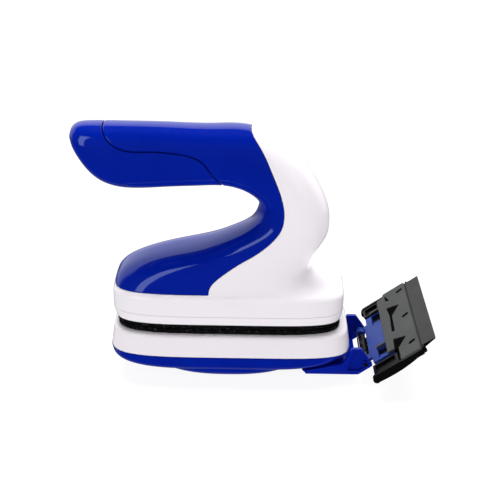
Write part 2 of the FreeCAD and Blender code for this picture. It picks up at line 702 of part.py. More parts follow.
def magnet_tray(label, x, z):
    body = slab(label, "tray_length", "tray_width", "tray_corner", "tray_height")
    windows = new_sketch(body, f"{label}_windows")
    for sx, sy in CORNERS:
        sign_x = "" if sx > 0 else "-"
        sign_y = "" if sy > 0 else "-"
        near_x = f"{sign_x}magnet_offset_x -half_window_x"
        far_x = f"{sign_x}magnet_offset_x half_window_x"
        near_y = f"{sign_y}magnet_offset_y -half_window_y"
        far_y = f"{sign_y}magnet_offset_y half_window_y"
        polygon(windows, [(near_x, near_y), (far_x, near_y), (far_x, far_y), (near_x, far_y)])
    pocket(body, windows)
    place(body, x=x, z=z)


def yoke(label, x, z):
    body = slab(label, "yoke_length", "yoke_width", "yoke_corner", "yoke_thickness")
    place(body, x=x, z=z)


stack_gap = dim("stack_gap")
extra = len(DIMENSIONS) + 1
for alias, size in (("half_window_x", "magnet_length"), ("half_window_y", "magnet_width")):
    sheet.set(f"A{extra}", "half of a tray window")
    sheet.set(f"B{extra}", str(dim(size) / 2 + dim("magnet_clearance")))
    sheet.setAlias(f"B{extra}", alias)
    extra += 1
for alias, value, meaning in (
        ("outer_stack", plate_bottom + wall + stack_gap, "bottom of the tray and magnets in the handled unit"),
        ("outer_yoke_bottom", plate_bottom + wall + 2 * stack_gap + dim("magnet_thickness"), "outer yoke"),
        ("inner_stack", inner_top - wall - stack_gap - dim("magnet_thickness"), "magnets in the float unit"),
        ("inner_tray_bottom", inner_top - wall - stack_gap - dim("tray_height"), "tray in the float unit"),
        ("inner_yoke_bottom", inner_top - wall - 2 * stack_gap - dim("magnet_thickness yoke_thickness"),
         "inner yoke"),
        ("slot_left", dim("tongue_left") - PAST, "rail slot, past the free end of the tongue"),
        ("slot_right", dim("rail_right rail_clearance"), "closed end of the rail slot"),
        ("slot_half", dim("rail_stem") / 2 + dim("rail_clearance"), "half width of the rail slot"),
        ("hub_gap_half", dim("knuckle_radius pin_radius"), "gap for the hub and the spring"),
        ("oval_rear", dim("oval_middle") - dim("oval_length") / 2, "rivet slots"),
        ("oval_front", dim("oval_middle") + dim("oval_length") / 2, "rivet slots"),
        ("oval_half", dim("oval_width") / 2, "rivet slots"),
        ("notch_rear", dim("clamp_start") - PAST, "corner notches, past the rear edge of the clamp"),
        ("notch_side", dim("carrier_half") + PAST, "corner notches, past the ends of the clamp")):
    sheet.set(f"A{extra}", meaning)
    sheet.set(f"B{extra}", str(round(value, 4)))
    sheet.setAlias(f"B{extra}", alias)
    extra += 1
doc.recompute()

magnet_tray("outer_magnet_tray", "base_shift", "outer_stack")
magnet_tray("inner_magnet_tray", "base_shift", "inner_tray_bottom")
yoke("outer_yoke_plate", "base_shift", "outer_yoke_bottom")
yoke("inner_yoke_plate", "base_shift", "inner_yoke_bottom")
for number, (sx, sy) in enumerate(CORNERS, start=1):
    magnet(f"outer_magnet_{number}", sx, sy, "base_shift", "outer_stack")
    magnet(f"inner_magnet_{number}", sx, sy, "base_shift", "inner_stack")

# ---------------------------------------------------------------------------------------------------------
# Scraper bracket and its pin
# ---------------------------------------------------------------------------------------------------------
bracket = new_body("scraper_bracket")
tongue = new_sketch(bracket, "tongue_profile", "XZ_Plane")
polygon(tongue, [("tongue_left", "tongue_top"), ("tongue_left tongue_chamfer", "tongue_bottom"),
                 ("tongue_right", "tongue_bottom"), ("tongue_right", "tongue_top")])
pad(bracket, tongue, "bracket_outer bracket_outer", middle=True)
arm = new_sketch(bracket, "arm_profile", "XZ_Plane", offset="bracket_outer -bracket_wall")
polygon(arm, [("tongue_left tongue_chamfer", "tongue_bottom"), ("tongue_right", "tongue_bottom"),
              ("arm_tip", "arm_tip_low"), ("arm_tip", "arm_tip_high"), ("arm_shoulder", "arm_top"),
              ("arm_left", "arm_top"), ("arm_bend", "pivot_z"), ("tongue_left tongue_chamfer", "tongue_top")])
arm_pad = pad(bracket, arm, "bracket_wall")
mirror(bracket, [arm_pad], "XZ_Plane")
recess = new_sketch(bracket, "arm_recess", "XZ_Plane", offset="bracket_outer -recess_depth")
polygon(recess, [("recess_left", "recess_low"), ("recess_bend", "recess_low"), ("recess_tip", "pivot_z"),
                 ("recess_shoulder", "recess_top"), ("recess_rear", "recess_top")])
recess_cut = pocket(bracket, recess, "recess_depth")
mirror(bracket, [recess_cut], "XZ_Plane")
slot = new_sketch(bracket, "rail_slot")
polygon(slot, [("slot_left", "-slot_half"), ("slot_right", "-slot_half"),
               ("slot_right", "slot_half"), ("slot_left", "slot_half")])
pocket(bracket, slot)
pin_holes = new_sketch(bracket, "pin_holes", "XZ_Plane")
circle(pin_holes, "pivot_x", "pivot_z", "pin_radius")
pocket(bracket, pin_holes)

pin = new_body("pivot_pin")
pin_section = new_sketch(pin, "pin_section", "XZ_Plane")
circle(pin_section, "", "", "pin_radius")
pad(pin, pin_section, "pin_length", middle=True)
place(pin, x="pivot_x", z="pivot_z")

# ---------------------------------------------------------------------------------------------------------
# Scraper: swing plate, carrier, clamp plate and blade, each in the tilted frame of the pivot
# ---------------------------------------------------------------------------------------------------------


def side_pad(body, name, corners, width):
    """A side profile drawn along the slope and padded evenly to both sides of the middle."""
    sketch = new_sketch(body, name, "XZ_Plane")
    polygon(sketch, corners)
    return pad(body, sketch, width, middle=True)


def box_corners(start, end, low, high):
    return [(start, low), (end, low), (end, high), (start, high)]


swing = new_body("swing_plate")
side_pad(swing, "swing_wings", box_corners("swing_wing_start", "swing_end", "swing_low", "swing_high"),
         "swing_wing swing_wing")
side_pad(swing, "swing_web", [("", "swing_low"), ("swing_wing_start pin_radius", "swing_low"),
                              ("swing_wing_start pin_radius", "swing_high"), ("", "swing_high")],
         "knuckle_outer knuckle_outer")
knuckles = new_sketch(swing, "knuckles", "XZ_Plane")
circle(knuckles, "", "", "knuckle_radius")
pad(swing, knuckles, "knuckle_outer knuckle_outer", middle=True)
gap = new_sketch(swing, "hub_gap")
polygon(gap, [("-hub_gap_half", "-knuckle_inner"), ("hub_gap_half", "-knuckle_inner"),
              ("hub_gap_half", "knuckle_inner"), ("-hub_gap_half", "knuckle_inner")])
pocket(swing, gap)
openings = new_sketch(swing, "swing_openings")
polygon(openings, box_corners("opening_start", "opening_end", "far_opening_near", "far_opening_far"))
polygon(openings, box_corners("opening_start", "opening_end", "near_opening_near", "near_opening_far"))
pocket(swing, openings)
bore = new_sketch(swing, "swing_bore", "XZ_Plane")
circle(bore, "", "", "pin_radius pin_running")
pocket(swing, bore)
place_on_scraper(swing)

carrier = new_body("blade_carrier")
side_pad(carrier, "carrier_floor", box_corners("carrier_floor_start", "carrier_end", "carrier_floor_low",
                                               "carrier_floor_high"), "carrier_half carrier_half")
boxes = new_sketch(carrier, "end_boxes", "XZ_Plane", offset="carrier_box_inner")
polygon(boxes, box_corners("carrier_start", "carrier_box_end", "carrier_floor_low", "carrier_top"))
box_pad = pad(carrier, boxes, "carrier_half -carrier_box_inner")
mirror(carrier, [box_pad], "XZ_Plane")
walls = new_sketch(carrier, "end_walls", "XZ_Plane", offset="carrier_half -carrier_wall")
polygon(walls, [("carrier_start", "carrier_top"), ("carrier_start", "carrier_wall_low"),
                ("carrier_belly", "carrier_belly_low"), ("carrier_end", "carrier_front_low"),
                ("carrier_end", "carrier_top")])
wall_pad = pad(carrier, walls, "carrier_wall")
mirror(carrier, [wall_pad], "XZ_Plane")
lugs = new_sketch(carrier, "end_lugs", "XZ_Plane", offset="carrier_half -carrier_wall -carrier_wall")
circle(lugs, "carrier_start", "lug_drop", "lug_radius")
lug_pad = pad(carrier, lugs, "carrier_wall carrier_wall")
mirror(carrier, [lug_pad], "XZ_Plane")
side_pad(carrier, "carrier_tail", box_corners("", "carrier_floor_start spring_wire", "carrier_floor_low",
                                              "carrier_floor_high"), "hub_outer hub_outer")
hub = new_sketch(carrier, "carrier_hub", "XZ_Plane")
circle(hub, "", "", "knuckle_radius")
pad(carrier, hub, "hub_outer hub_outer", middle=True)
hub_bore = new_sketch(carrier, "hub_bore", "XZ_Plane")
circle(hub_bore, "", "", "pin_radius pin_running")
pocket(carrier, hub_bore)
place_on_scraper(carrier)

clamp = new_body("blade_clamp")
side_pad(clamp, "clamp_profile", [("clamp_start", "clamp_low"), ("clamp_end", "clamp_low"),
                                  ("clamp_end -clamp_bevel", "clamp_high"), ("clamp_start", "clamp_high")],
         "carrier_half carrier_half")


def window(shift):
    """Corners of one funnel-shaped window that runs on into a narrow slot, seen from above."""
    return [("window_rear", f"{shift} window_wide"), ("window_funnel_front", f"{shift} window_corner"),
            ("window_slot_front", f"{shift} window_neck"),
            ("window_slot_front", f"{shift} -window_slot_end"),
            ("window_rear", f"{shift} -window_slot_end")]


for name, inner in (("far_finger", "far_finger"), ("near_finger", "-near_finger -finger_width")):
    outline = new_sketch(clamp, f"{name}_outline", offset="clamp_low")
    polygon(outline, [("finger_start", inner), ("window_rear", inner),
                      ("window_rear", f"{inner} finger_width"), ("finger_start", f"{inner} finger_width")])
    pad(clamp, outline, "clamp_high -clamp_low")
for name, corners in (("middle_window", window("")), ("near_window", window("-window_pitch")),
                      ("far_window", [("window_rear", "triangle_far"), ("triangle_front", "triangle_near"),
                                      ("window_rear", "triangle_rear")])):
    outline = new_sketch(clamp, name)
    polygon(outline, corners)
    pocket(clamp, outline)
for name, end, side in (("near_notch", "-bar_near", "-notch_side"), ("far_notch", "bar_far", "notch_side")):
    outline = new_sketch(clamp, name)
    polygon(outline, [("notch_rear", end), ("window_rear", end), ("window_rear", side), ("notch_rear", side)])
    pocket(clamp, outline)
for name, across in (("middle_oval", "oval_shift"), ("near_oval", "oval_shift -oval_pitch"),
                     ("far_oval", "oval_shift oval_pitch")):
    outline = new_sketch(clamp, name)
    polygon(outline, [("oval_rear", f"{across} -oval_half"), ("oval_front", f"{across} -oval_half"),
                      ("oval_front", f"{across} oval_half"), ("oval_rear", f"{across} oval_half")])
    pocket(clamp, outline)
place_on_scraper(clamp)

blade = new_body("scraper_blade")
side_pad(blade, "blade_profile", [("blade_start", "blade_low"), ("blade_body", "blade_low"),
                                  ("blade_end", "blade_top -blade_edge"), ("blade_end", "blade_top"),
                                  ("blade_body", "blade_top"), ("blade_body", "blade_high"),
                                  ("blade_start", "blade_high")], "blade_half blade_half")
place_on_scraper(blade)


SPRING_ROWS = 16
WIRE_STEPS = 8


def torsion_spring():
    """A close coil, along its own +Z."""
    turns = dim("spring_turns")
    radius = dim("spring_radius")
    halves = []
    for side in (1, -1):
        grid = []
        for row in range(int(turns * SPRING_ROWS) + 1):
            angle = 2 * math.pi * row / SPRING_ROWS
            outward = Vector(math.cos(angle), math.sin(angle), 0)
            middle = outward * radius + UP * (dim("spring_coil") * row / (turns * SPRING_ROWS))
            grid.append([middle + outward * (dim("spring_wire") * math.cos(math.pi * step / WIRE_STEPS))
                         + UP * (side * dim("spring_wire") * math.sin(math.pi * step / WIRE_STEPS))
                         for step in range(WIRE_STEPS + 1)])
        halves.append(grid)
    return skin_solid(halves)


free_form("torsion_spring", torsion_spring(),
          FreeCAD.Placement(Vector(dim("pivot_x"), -dim("spring_start"), dim("pivot_z")),
                            FreeCAD.Rotation(Vector(1, 0, 0), 90)))

# ---------------------------------------------------------------------------------------------------------
# Check every piece and write it
# ---------------------------------------------------------------------------------------------------------
doc.recompute()
for item in doc.Objects:
    if "Invalid" in item.State or "Error" in item.State:
        raise RuntimeError(f"{item.Name} is {item.State}")

pieces = [item for item in doc.Objects
          if item.TypeId == "PartDesign::Body" or item.TypeId == "Part::Feature"]
for piece in pieces:
    if piece.Shape.isNull() or not piece.Shape.isValid():
        raise RuntimeError(f"{piece.Label} has no valid shape")

os.makedirs("parts", exist_ok=True)
for piece in pieces:
    piece.Shape.exportStep(f"parts/{piece.Label}.step")
    print(f"{piece.Label:20s} {len(piece.Shape.Solids)} solid(s) {piece.Shape.Volume / 1000:8.2f} cm3")
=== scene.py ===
"""Looks of the magnetic glass cleaner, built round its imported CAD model.

Shapes are worked out in millimetres in the CAD frame (+Z up, +X towards the scraper, origin at the
foot under the float) and scaled to metres when each piece is finished.
"""
import math

import bmesh
import bpy
import numpy as np
from mathutils import Matrix, Vector


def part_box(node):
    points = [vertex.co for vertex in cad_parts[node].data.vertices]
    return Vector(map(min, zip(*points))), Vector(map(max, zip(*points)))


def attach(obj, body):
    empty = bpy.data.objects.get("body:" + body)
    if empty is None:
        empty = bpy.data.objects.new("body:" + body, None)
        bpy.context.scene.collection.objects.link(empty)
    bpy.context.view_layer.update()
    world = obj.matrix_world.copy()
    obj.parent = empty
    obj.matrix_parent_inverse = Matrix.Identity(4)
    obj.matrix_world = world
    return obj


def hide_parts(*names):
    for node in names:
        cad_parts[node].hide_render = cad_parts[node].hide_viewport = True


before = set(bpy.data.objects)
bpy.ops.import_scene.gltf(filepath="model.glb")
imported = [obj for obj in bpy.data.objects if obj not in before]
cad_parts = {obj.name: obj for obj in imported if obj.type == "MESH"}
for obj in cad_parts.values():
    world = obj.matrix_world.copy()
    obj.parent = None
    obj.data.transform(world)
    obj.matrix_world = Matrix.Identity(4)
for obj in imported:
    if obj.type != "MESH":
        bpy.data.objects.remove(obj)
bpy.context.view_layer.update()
MM = 0.001
ROUND = 2 * math.pi


# ---- Materials ----
def srgb(red, green, blue):
    """A linear colour from 0..255 screen values."""
    linear = []
    for value in (red, green, blue):
        value /= 255
        linear.append(value / 12.92 if value <= 0.04045 else ((value + 0.055) / 1.055) ** 2.4)
    return (*linear, 1.0)


def set_range(node, start, end, low, high):
    """Sets what a Map Range node reads, start..end, and what it gives, low..high."""
    for name, number in zip(("From Min", "From Max", "To Min", "To Max"), (start, end, low, high)):
        node.inputs[name].default_value = number


class Tree:
    """A material and short calls that add nodes to it."""

    def __init__(self, name):
        self.material = bpy.data.materials.new(name)
        self.material.use_nodes = True
        self.nodes = self.material.node_tree.nodes
        self.links = self.material.node_tree.links
        self.shader = self.nodes["Principled BSDF"]
        self.place = self.nodes.new("ShaderNodeTexCoord").outputs["Object"]

    def give(self, socket, value):
        """Links a node's output to a socket, or sets the socket to a number or a colour."""
        if isinstance(value, bpy.types.NodeSocket):
            self.links.new(value, socket)
        else:
            socket.default_value = value

    def shade(self, name, value):
        self.give(self.shader.inputs[name], value)

    def noise(self, scale, detail=2.0, roughness=0.5, stretch=None):
        node = self.nodes.new("ShaderNodeTexNoise")
        node.inputs["Scale"].default_value = scale
        node.inputs["Detail"].default_value = detail
        node.inputs["Roughness"].default_value = roughness
        source = self.place
        if stretch:
            mapping = self.nodes.new("ShaderNodeMapping")
            mapping.inputs["Scale"].default_value = stretch
            self.give(mapping.inputs["Vector"], source)
            source = mapping.outputs["Vector"]
        self.give(node.inputs["Vector"], source)
        return node.outputs["Fac"]

    def cells(self, scale):
        node = self.nodes.new("ShaderNodeTexVoronoi")
        node.inputs["Scale"].default_value = scale
        self.give(node.inputs["Vector"], self.place)
        return node.outputs["Distance"]

    def span(self, value, low, high, start=0.3, end=0.7):
        """Maps a value from start..end to low..high."""
        node = self.nodes.new("ShaderNodeMapRange")
        set_range(node, start, end, low, high)
        self.give(node.inputs["Value"], value)
        return node.outputs["Result"]

    def mix(self, share, first, second):
        node = self.nodes.new("ShaderNodeMix")
        node.data_type = "RGBA"
        self.give(node.inputs["Factor"], share)
        self.give(node.inputs["A"], first)
        self.give(node.inputs["B"], second)
        return node.outputs["Result"]

    def bump(self, height, distance, strength=1.0, normal=None):
        node = self.nodes.new("ShaderNodeBump")
        node.inputs["Strength"].default_value = strength
        node.inputs["Distance"].default_value = distance
        self.give(node.inputs["Height"], height)
        if normal:
            self.give(node.inputs["Normal"], normal)
        return node.outputs["Normal"]


# noise scales, in cells per metre
FLOW_SCALE = 34
CLOUD_SCALE = 160
RIPPLE_SCALE = 55
GRAIN_SCALE = 2600
FELT_TANGLE_SCALE = 1500
FELT_FLECK_SCALE = 620
FELT_CLUMP_SCALE = 420
DRAWN_LINE_SCALE = 900
RIPPLE_DEPTH = 0.001


def moulded(name, colour, darker, roughness, spread, grain, specular=0.5, ripple=6e-4, tint=None):
    """Moulded plastic: faint flow marks in the colour, uneven gloss and a fine moulded grain."""
    tree = Tree(name)
    flow = tree.noise(FLOW_SCALE, 3.0, 0.55, (1.0, 1.6, 0.7))
    cloud = tree.noise(CLOUD_SCALE, 4.0)
    share = tree.span(flow, 0.0, 1.0)
    tree.shade("Base Color", tree.mix(share, colour, darker))
    tree.shade("Roughness", tree.span(cloud, roughness - spread, roughness + spread))
    waves = tree.bump(tree.noise(RIPPLE_SCALE, 1.0), RIPPLE_DEPTH, ripple)
    tree.shade("Normal", tree.bump(tree.noise(GRAIN_SCALE, 2.0), grain, 1.0, waves))
    tree.shade("Specular IOR Level", specular)
    if tint:
        tree.shade("Specular Tint", tint)
    return tree.material


def felt(name):
    """Dense black felt: matt, flecked, with short tangled fibres."""
    tree = Tree(name)
    tangle = tree.noise(FELT_TANGLE_SCALE, 5.0, 0.7)
    fleck = tree.span(tree.noise(FELT_FLECK_SCALE, 3.0, 0.8), 0.0, 1.0, 0.58, 0.68)
    base = tree.mix(tangle, srgb(2, 2, 3), srgb(13, 12, 14))
    tree.shade("Base Color", tree.mix(fleck, base, srgb(78, 77, 82)))
    tree.shade("Roughness", tree.span(tangle, 0.85, 1.0))
    clumps = tree.bump(tree.cells(FELT_CLUMP_SCALE), 0.0004, 0.6)
    tree.shade("Normal", tree.bump(tangle, 0.0003, 0.9, clumps))
    tree.shade("Specular IOR Level", 0.15)
    return tree.material


def metal(name, colour, darker, roughness, stretch):
    """Bare metal with fine drawn lines."""
    tree = Tree(name)
    lines = tree.noise(DRAWN_LINE_SCALE, 3.0, 0.6, stretch)
    tree.shade("Base Color", tree.mix(lines, colour, darker))
    tree.shade("Roughness", tree.span(lines, roughness - 0.06, roughness + 0.1))
    tree.shade("Normal", tree.bump(lines, 4e-6))
    tree.shade("Metallic", 1.0)
    return tree.material


BLUE_SHEEN = (0.6, 0.74, 1.0, 1.0)
BLUE = moulded("glossy_blue_plastic", srgb(2, 30, 150), srgb(2, 26, 142), 0.06, 0.012,
               grain=1.5e-6, specular=0.66, ripple=1.5e-4, tint=BLUE_SHEEN)
NAVY = moulded("bracket_blue_plastic", srgb(3, 30, 160), srgb(3, 25, 148), 0.12, 0.03,
               grain=5e-6, specular=0.66, ripple=3e-4, tint=BLUE_SHEEN)
WHITE = moulded("semi_gloss_white_plastic", srgb(240, 235, 240), srgb(238, 233, 239), 0.2, 0.03,
                grain=3e-6, ripple=1e-4)
PALE_BLUE = moulded("swing_plate_blue_plastic", srgb(33, 59, 136), srgb(28, 52, 128), 0.38, 0.05,
                    grain=9e-6, specular=0.25)
CLAMP_GREY = moulded("satin_grey_plastic", srgb(66, 67, 67), srgb(60, 61, 62), 0.42, 0.05,
                     grain=1.4e-5, specular=0.16)
BLADE_GREY = moulded("blade_grey_plastic", srgb(50, 50, 51), srgb(45, 45, 46), 0.4, 0.06,
                     grain=8e-6, specular=0.16)
CARRIER_BLACK = moulded("carrier_black_plastic", srgb(13, 13, 14), srgb(8, 8, 9), 0.3, 0.06,
                        grain=1.2e-5, specular=0.14)
# painted shade: a near-black, barely glossy fill that darkens the clamp's windows and rivet slots,
# and in part the blade's end strips, in place of their shadowed depth
SHADE_BLACK = moulded("painted_shade_black", srgb(4, 4, 4), srgb(2, 2, 2), 0.75, 0.05,
                       grain=8e-6, specular=0.03)
TRAY_GREY = moulded("tray_grey_plastic", srgb(122, 124, 126), srgb(110, 112, 114), 0.5, 0.06,
                    grain=1.5e-5)
FELT = felt("black_felt")
FIBRES = felt("black_fibres")
NICKEL = metal("nickel_plating", srgb(205, 203, 198), srgb(186, 184, 178), 0.2, (1.0, 9.0, 1.0))
STEEL = metal("steel_sheet", srgb(150, 151, 154), srgb(128, 129, 133), 0.34, (1.0, 14.0, 1.0))
WIRE = metal("spring_steel", srgb(196, 197, 200), srgb(160, 161, 166), 0.22, (1.0, 6.0, 6.0))

# ---- Mesh helpers ----


def spline(knots, values, at):
    """Natural cubic spline through rows of values, read at new places."""
    knots = np.asarray(knots, float)
    values = np.asarray(values, float)
    count = len(knots)
    step = np.diff(knots)
    matrix = np.eye(count)
    right = np.zeros(values.shape)
    for i in range(1, count - 1):
        matrix[i, i - 1:i + 2] = step[i - 1], 2 * (step[i - 1] + step[i]), step[i]
        slope_after = (values[i + 1] - values[i]) / step[i]
        slope_before = (values[i] - values[i - 1]) / step[i - 1]
        right[i] = 6 * (slope_after - slope_before)
    curve = np.linalg.solve(matrix, right)
    at = np.asarray(at, float)
    i = np.clip(np.searchsorted(knots, at) - 1, 0, count - 2)
    after = (at - knots[i])[:, None]
    before = (knots[i + 1] - at)[:, None]
    width = step[i][:, None]
    return ((curve[i] * before ** 3 + curve[i + 1] * after ** 3) / (6 * width)
            + (values[i] / width - curve[i] * width / 6) * before
            + (values[i + 1] / width - curve[i + 1] * width / 6) * after)


def smooth_line(points, count):
    """A plane curve through points, as evenly spread points."""
    points = np.asarray(points, float)
    length = np.concatenate([[0], np.cumsum(np.linalg.norm(np.diff(points, axis=0), axis=1))])
    return spline(length, points, np.linspace(0, length[-1], count))


def smoothstep(value):
    value = np.clip(value, 0, 1)
    return value * value * (3 - 2 * value)


def superellipse(angle, exponent):
    """Points of a unit superellipse that lie in given directions."""
    cosine, sine = np.cos(angle), np.sin(angle)
    radius = (np.abs(cosine) ** exponent + np.abs(sine) ** exponent) ** (-1 / exponent)
    return radius * cosine, radius * sine


def ring_surface(rings, cap_start=False, cap_end=False):
    """A bmesh through closed rings of equally many points."""
    bm = bmesh.new()
    rows = [[bm.verts.new(point) for point in ring] for ring in rings]
    around = len(rows[0])
    for low, high in zip(rows[:-1], rows[1:]):
        for i in range(around):
            j = (i + 1) % around
            bm.faces.new((low[i], low[j], high[j], high[i]))
    if cap_start:
        bm.faces.new(rows[0][::-1])
    if cap_end:
        bm.faces.new(rows[-1])
    return bm


def as_mesh(bm, name="scratch"):
    mesh = bpy.data.meshes.new(name)
    bm.to_mesh(mesh)
    bm.free()
    return mesh


def add_object(name, data):
    made = bpy.data.objects.new(name, data)
    bpy.context.scene.collection.objects.link(made)
    return made


def place_piece(name, bm, body, material, node=None, sharp=32.0, flat_sided=False):
    """Turns a bmesh in millimetres into a finished piece that rides on its body."""
    bmesh.ops.recalc_face_normals(bm, faces=bm.faces)
    mesh = as_mesh(bm, name)
    mesh.transform(Matrix.Scale(MM, 4))
    mesh.polygons.foreach_set("use_smooth", [True] * len(mesh.polygons))
    mesh.set_sharp_from_angle(angle=math.radians(sharp))
    mesh.materials.append(material)
    piece = add_object(name, mesh)
    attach(piece, body)
    if node:
        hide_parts(node)
    if flat_sided:
        change = piece.modifiers.new("even_shading", "WEIGHTED_NORMAL")
        change.keep_sharp = True
        change.weight = 100
    return piece


def scratch(bm):
    """A temporary object for a bmesh, so that modifiers can work on it."""
    return add_object("scratch", as_mesh(bm))


def settle(made, others=()):
    """The bmesh of a temporary object with its modifiers applied; it and its tools go away."""
    graph = bpy.context.evaluated_depsgraph_get()
    mesh = bpy.data.meshes.new_from_object(made.evaluated_get(graph))
    bm = bmesh.new()
    bm.from_mesh(mesh)
    bpy.data.meshes.remove(mesh)
    for item in [made, *others]:
        old = item.data
        bpy.data.objects.remove(item)
        bpy.data.meshes.remove(old)
    return bm


def combine(bm, operation, *tools):
    """bm united with other closed shapes, or with them cut away."""
    made = scratch(bm)
    others = [scratch(tool) for tool in tools]
    for other in others:
        change = made.modifiers.new("join", "BOOLEAN")
        change.operation = operation
        change.solver = "EXACT"
        change.object = other
    return settle(made, others)


def bevelled(bm, width, segments=2, angle=30.0):
    """Rounds every edge sharper than an angle, in degrees."""
    bmesh.ops.dissolve_limit(bm, angle_limit=math.radians(0.5), verts=bm.verts, edges=bm.edges)
    made = scratch(bm)
    change = made.modifiers.new("round", "BEVEL")
    change.width = width
    change.segments = segments
    change.limit_method = "ANGLE"
    change.angle_limit = math.radians(angle)
    return settle(made)


def thickened(bm, depth):
    """A closed shell: the surface, its inner side and the edges between them."""
    bmesh.ops.recalc_face_normals(bm, faces=bm.faces)
    made = scratch(bm)
    change = made.modifiers.new("wall", "SOLIDIFY")
    change.thickness = depth
    change.offset = -1.0
    return settle(made)


def prism(outline, low, high, turn=None):
    """A block over a plane outline, from low to high on its third axis; turn places it."""
    bm = bmesh.new()
    bottom = [bm.verts.new((x, y, low)) for x, y in outline]
    top = [bm.verts.new((x, y, high)) for x, y in outline]
    bm.faces.new(bottom[::-1])
    bm.faces.new(top)
    for i in range(len(outline)):
        j = (i + 1) % len(outline)
        bm.faces.new((bottom[i], bottom[j], top[j], top[i]))
    if turn:
        bm.transform(turn)
    bmesh.ops.recalc_face_normals(bm, faces=bm.faces)
    return bm


# A side drawing pushed along Y: its x, y and depth become x, z and y
SIDEWAYS = Matrix(((1, 0, 0, 0), (0, 0, 1, 0), (0, 1, 0, 0), (0, 0, 0, 1)))
# A rounded corner takes up less than half of each side beside it, and a shorter one stays sharp
CORNER_SHARE = 0.48
SHORTEST_REACH = 1e-4


def rounded(outline, radius, steps=4):
    """The outline with each corner rounded; radius is one number or one for each corner."""
    points = []
    count = len(outline)
    for i in range(count):
        corner = Vector(outline[i])
        before = Vector(outline[i - 1]) - corner
        after = Vector(outline[(i + 1) % count]) - corner
        size = radius[i] if isinstance(radius, (list, tuple)) else radius
        turn = before.angle(after)
        longest = CORNER_SHARE * min(before.length, after.length)
        reach = min(size / math.tan(turn / 2), longest) if size else 0
        if reach < SHORTEST_REACH:
            points.append(tuple(corner))
            continue
        start = corner + before.normalized() * reach
        end = corner + after.normalized() * reach
        for step in range(steps + 1):
            t = step / steps
            points.append(tuple(start * (1 - t) ** 2 + corner * 2 * t * (1 - t) + end * t * t))
    return points


def tube(path, radius, around=12):
    """A round bar along points."""
    path = [Vector(point) for point in path]
    rings = []
    side = None
    for i, point in enumerate(path):
        run = (path[min(i + 1, len(path) - 1)] - path[max(i - 1, 0)]).normalized()
        side = run.orthogonal() if side is None else side - run * side.dot(run)
        side = side.normalized()
        other = run.cross(side)
        turns = [ROUND * k / around for k in range(around)]
        rings.append([point + (side * math.cos(turn) + other * math.sin(turn)) * radius
                      for turn in turns])
    return ring_surface(rings, True, True)


# ---- Outlines shared with the CAD ----
NOSE_BLUNTNESS = 4.3
TAIL_BLUNTNESS = 5.0
SEAM = 20.5
INNER_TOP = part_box("inner_housing")[1].z / MM
TUB_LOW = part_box("outer_base_plate")[0].z / MM
TUB_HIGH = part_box("outer_base_plate")[1].z / MM
BASE_TOP = 59.4
BASE_SHIFT = 0.5
BASE_HALF = (68.7, 29.4)
FLOAT_SHIFT = 2.05
FLOAT_HALF = (71.95, 30.5)
AROUND = 224
ANGLES = np.arange(AROUND) * ROUND / AROUND


def plan(half_length, half_width, shift=0.0, nose=NOSE_BLUNTNESS, tail=TAIL_BLUNTNESS):
    """The rounded oblong outline of the units, seen from above."""
    tail_x, tail_y = superellipse(ANGLES, tail)
    nose_x, nose_y = superellipse(ANGLES, nose)
    front = np.cos(ANGLES) > 0
    return np.stack([shift + half_length * np.where(front, tail_x, nose_x),
                     half_width * np.where(front, tail_y, nose_y)], axis=1)


def inward(outline):
    """Unit plan vectors that point into an outline."""
    run = np.roll(outline, -1, axis=0) - np.roll(outline, 1, axis=0)
    run /= np.linalg.norm(run, axis=1)[:, None]
    return np.stack([-run[:, 1], run[:, 0]], axis=1)


def wall_rings(outline, profile):
    """Rings that follow an outline: one for each (inset, height) of a profile."""
    normals = inward(outline)
    return [np.column_stack([outline + normals * inset, np.full(len(outline), height)])
            for inset, height in profile]


def arc(inset, height, radius, start, end, steps):
    """A profile's arc about (inset, height), in degrees: 0 is outward and 90 is up."""
    turns = [math.radians(start + (end - start) * k / steps) for k in range(steps + 1)]
    return [(inset - radius * math.cos(turn), height + radius * math.sin(turn)) for turn in turns]


# ---- The handled unit's skin: one surface, cut along its seams ----
# one row for each section through the loop: its inner point's x and z, its outer point's x and z,
# half its width, and how blunt its inner and its outer half are
HANDLE_SECTIONS = np.array([
    (-68.0, 56.0, 50.0, 56.0, 27.8, 4.2, 3.0),
    (-65.2, 64.8, 47.0, 62.5, 25.6, 3.4, 2.8),
    (-53.5, 73.0, 47.8, 69.5, 23.6, 2.8, 2.6),
    (-33.0, 79.4, 51.0, 77.0, 21.6, 2.5, 2.4),
    (-15.0, 83.7, 55.0, 83.5, 20.4, 2.4, 2.3),
    (1.0, 90.0, 58.5, 90.5, 19.2, 2.3, 2.3),
    (13.2, 97.3, 59.2, 97.5, 18.5, 2.3, 2.3),
    (17.3, 105.0, 58.5, 105.5, 18.2, 2.3, 2.3),
    (17.4, 110.0, 54.8, 115.5, 18.0, 2.3, 2.3),
    (12.4, 115.1, 46.5, 129.5, 17.6, 2.4, 2.4),
    (5.0, 118.4, 33.5, 143.5, 17.0, 2.4, 2.4),
    (-5.0, 120.1, 14.0, 153.8, 16.6, 2.5, 2.5),
    (-18.0, 119.6, -9.0, 154.8, 16.3, 2.5, 2.5),
    (-35.0, 118.6, -33.0, 155.2, 16.0, 2.5, 2.5),
    (-54.0, 117.5, -57.0, 155.5, 15.8, 2.5, 2.5),
    (-68.5, 119.6, -74.0, 155.5, 15.2, 2.5, 2.5),
    (-79.0, 126.5, -84.5, 155.0, 13.6, 2.4, 2.4),
    (-86.2, 136.5, -88.7, 153.0, 10.4, 2.3, 2.3),
    (-88.7, 141.2, -89.9, 151.2, 7.4, 2.2, 2.2),
    (-90.0, 144.8, -90.4, 149.3, 4.2, 2.0, 2.0),
])
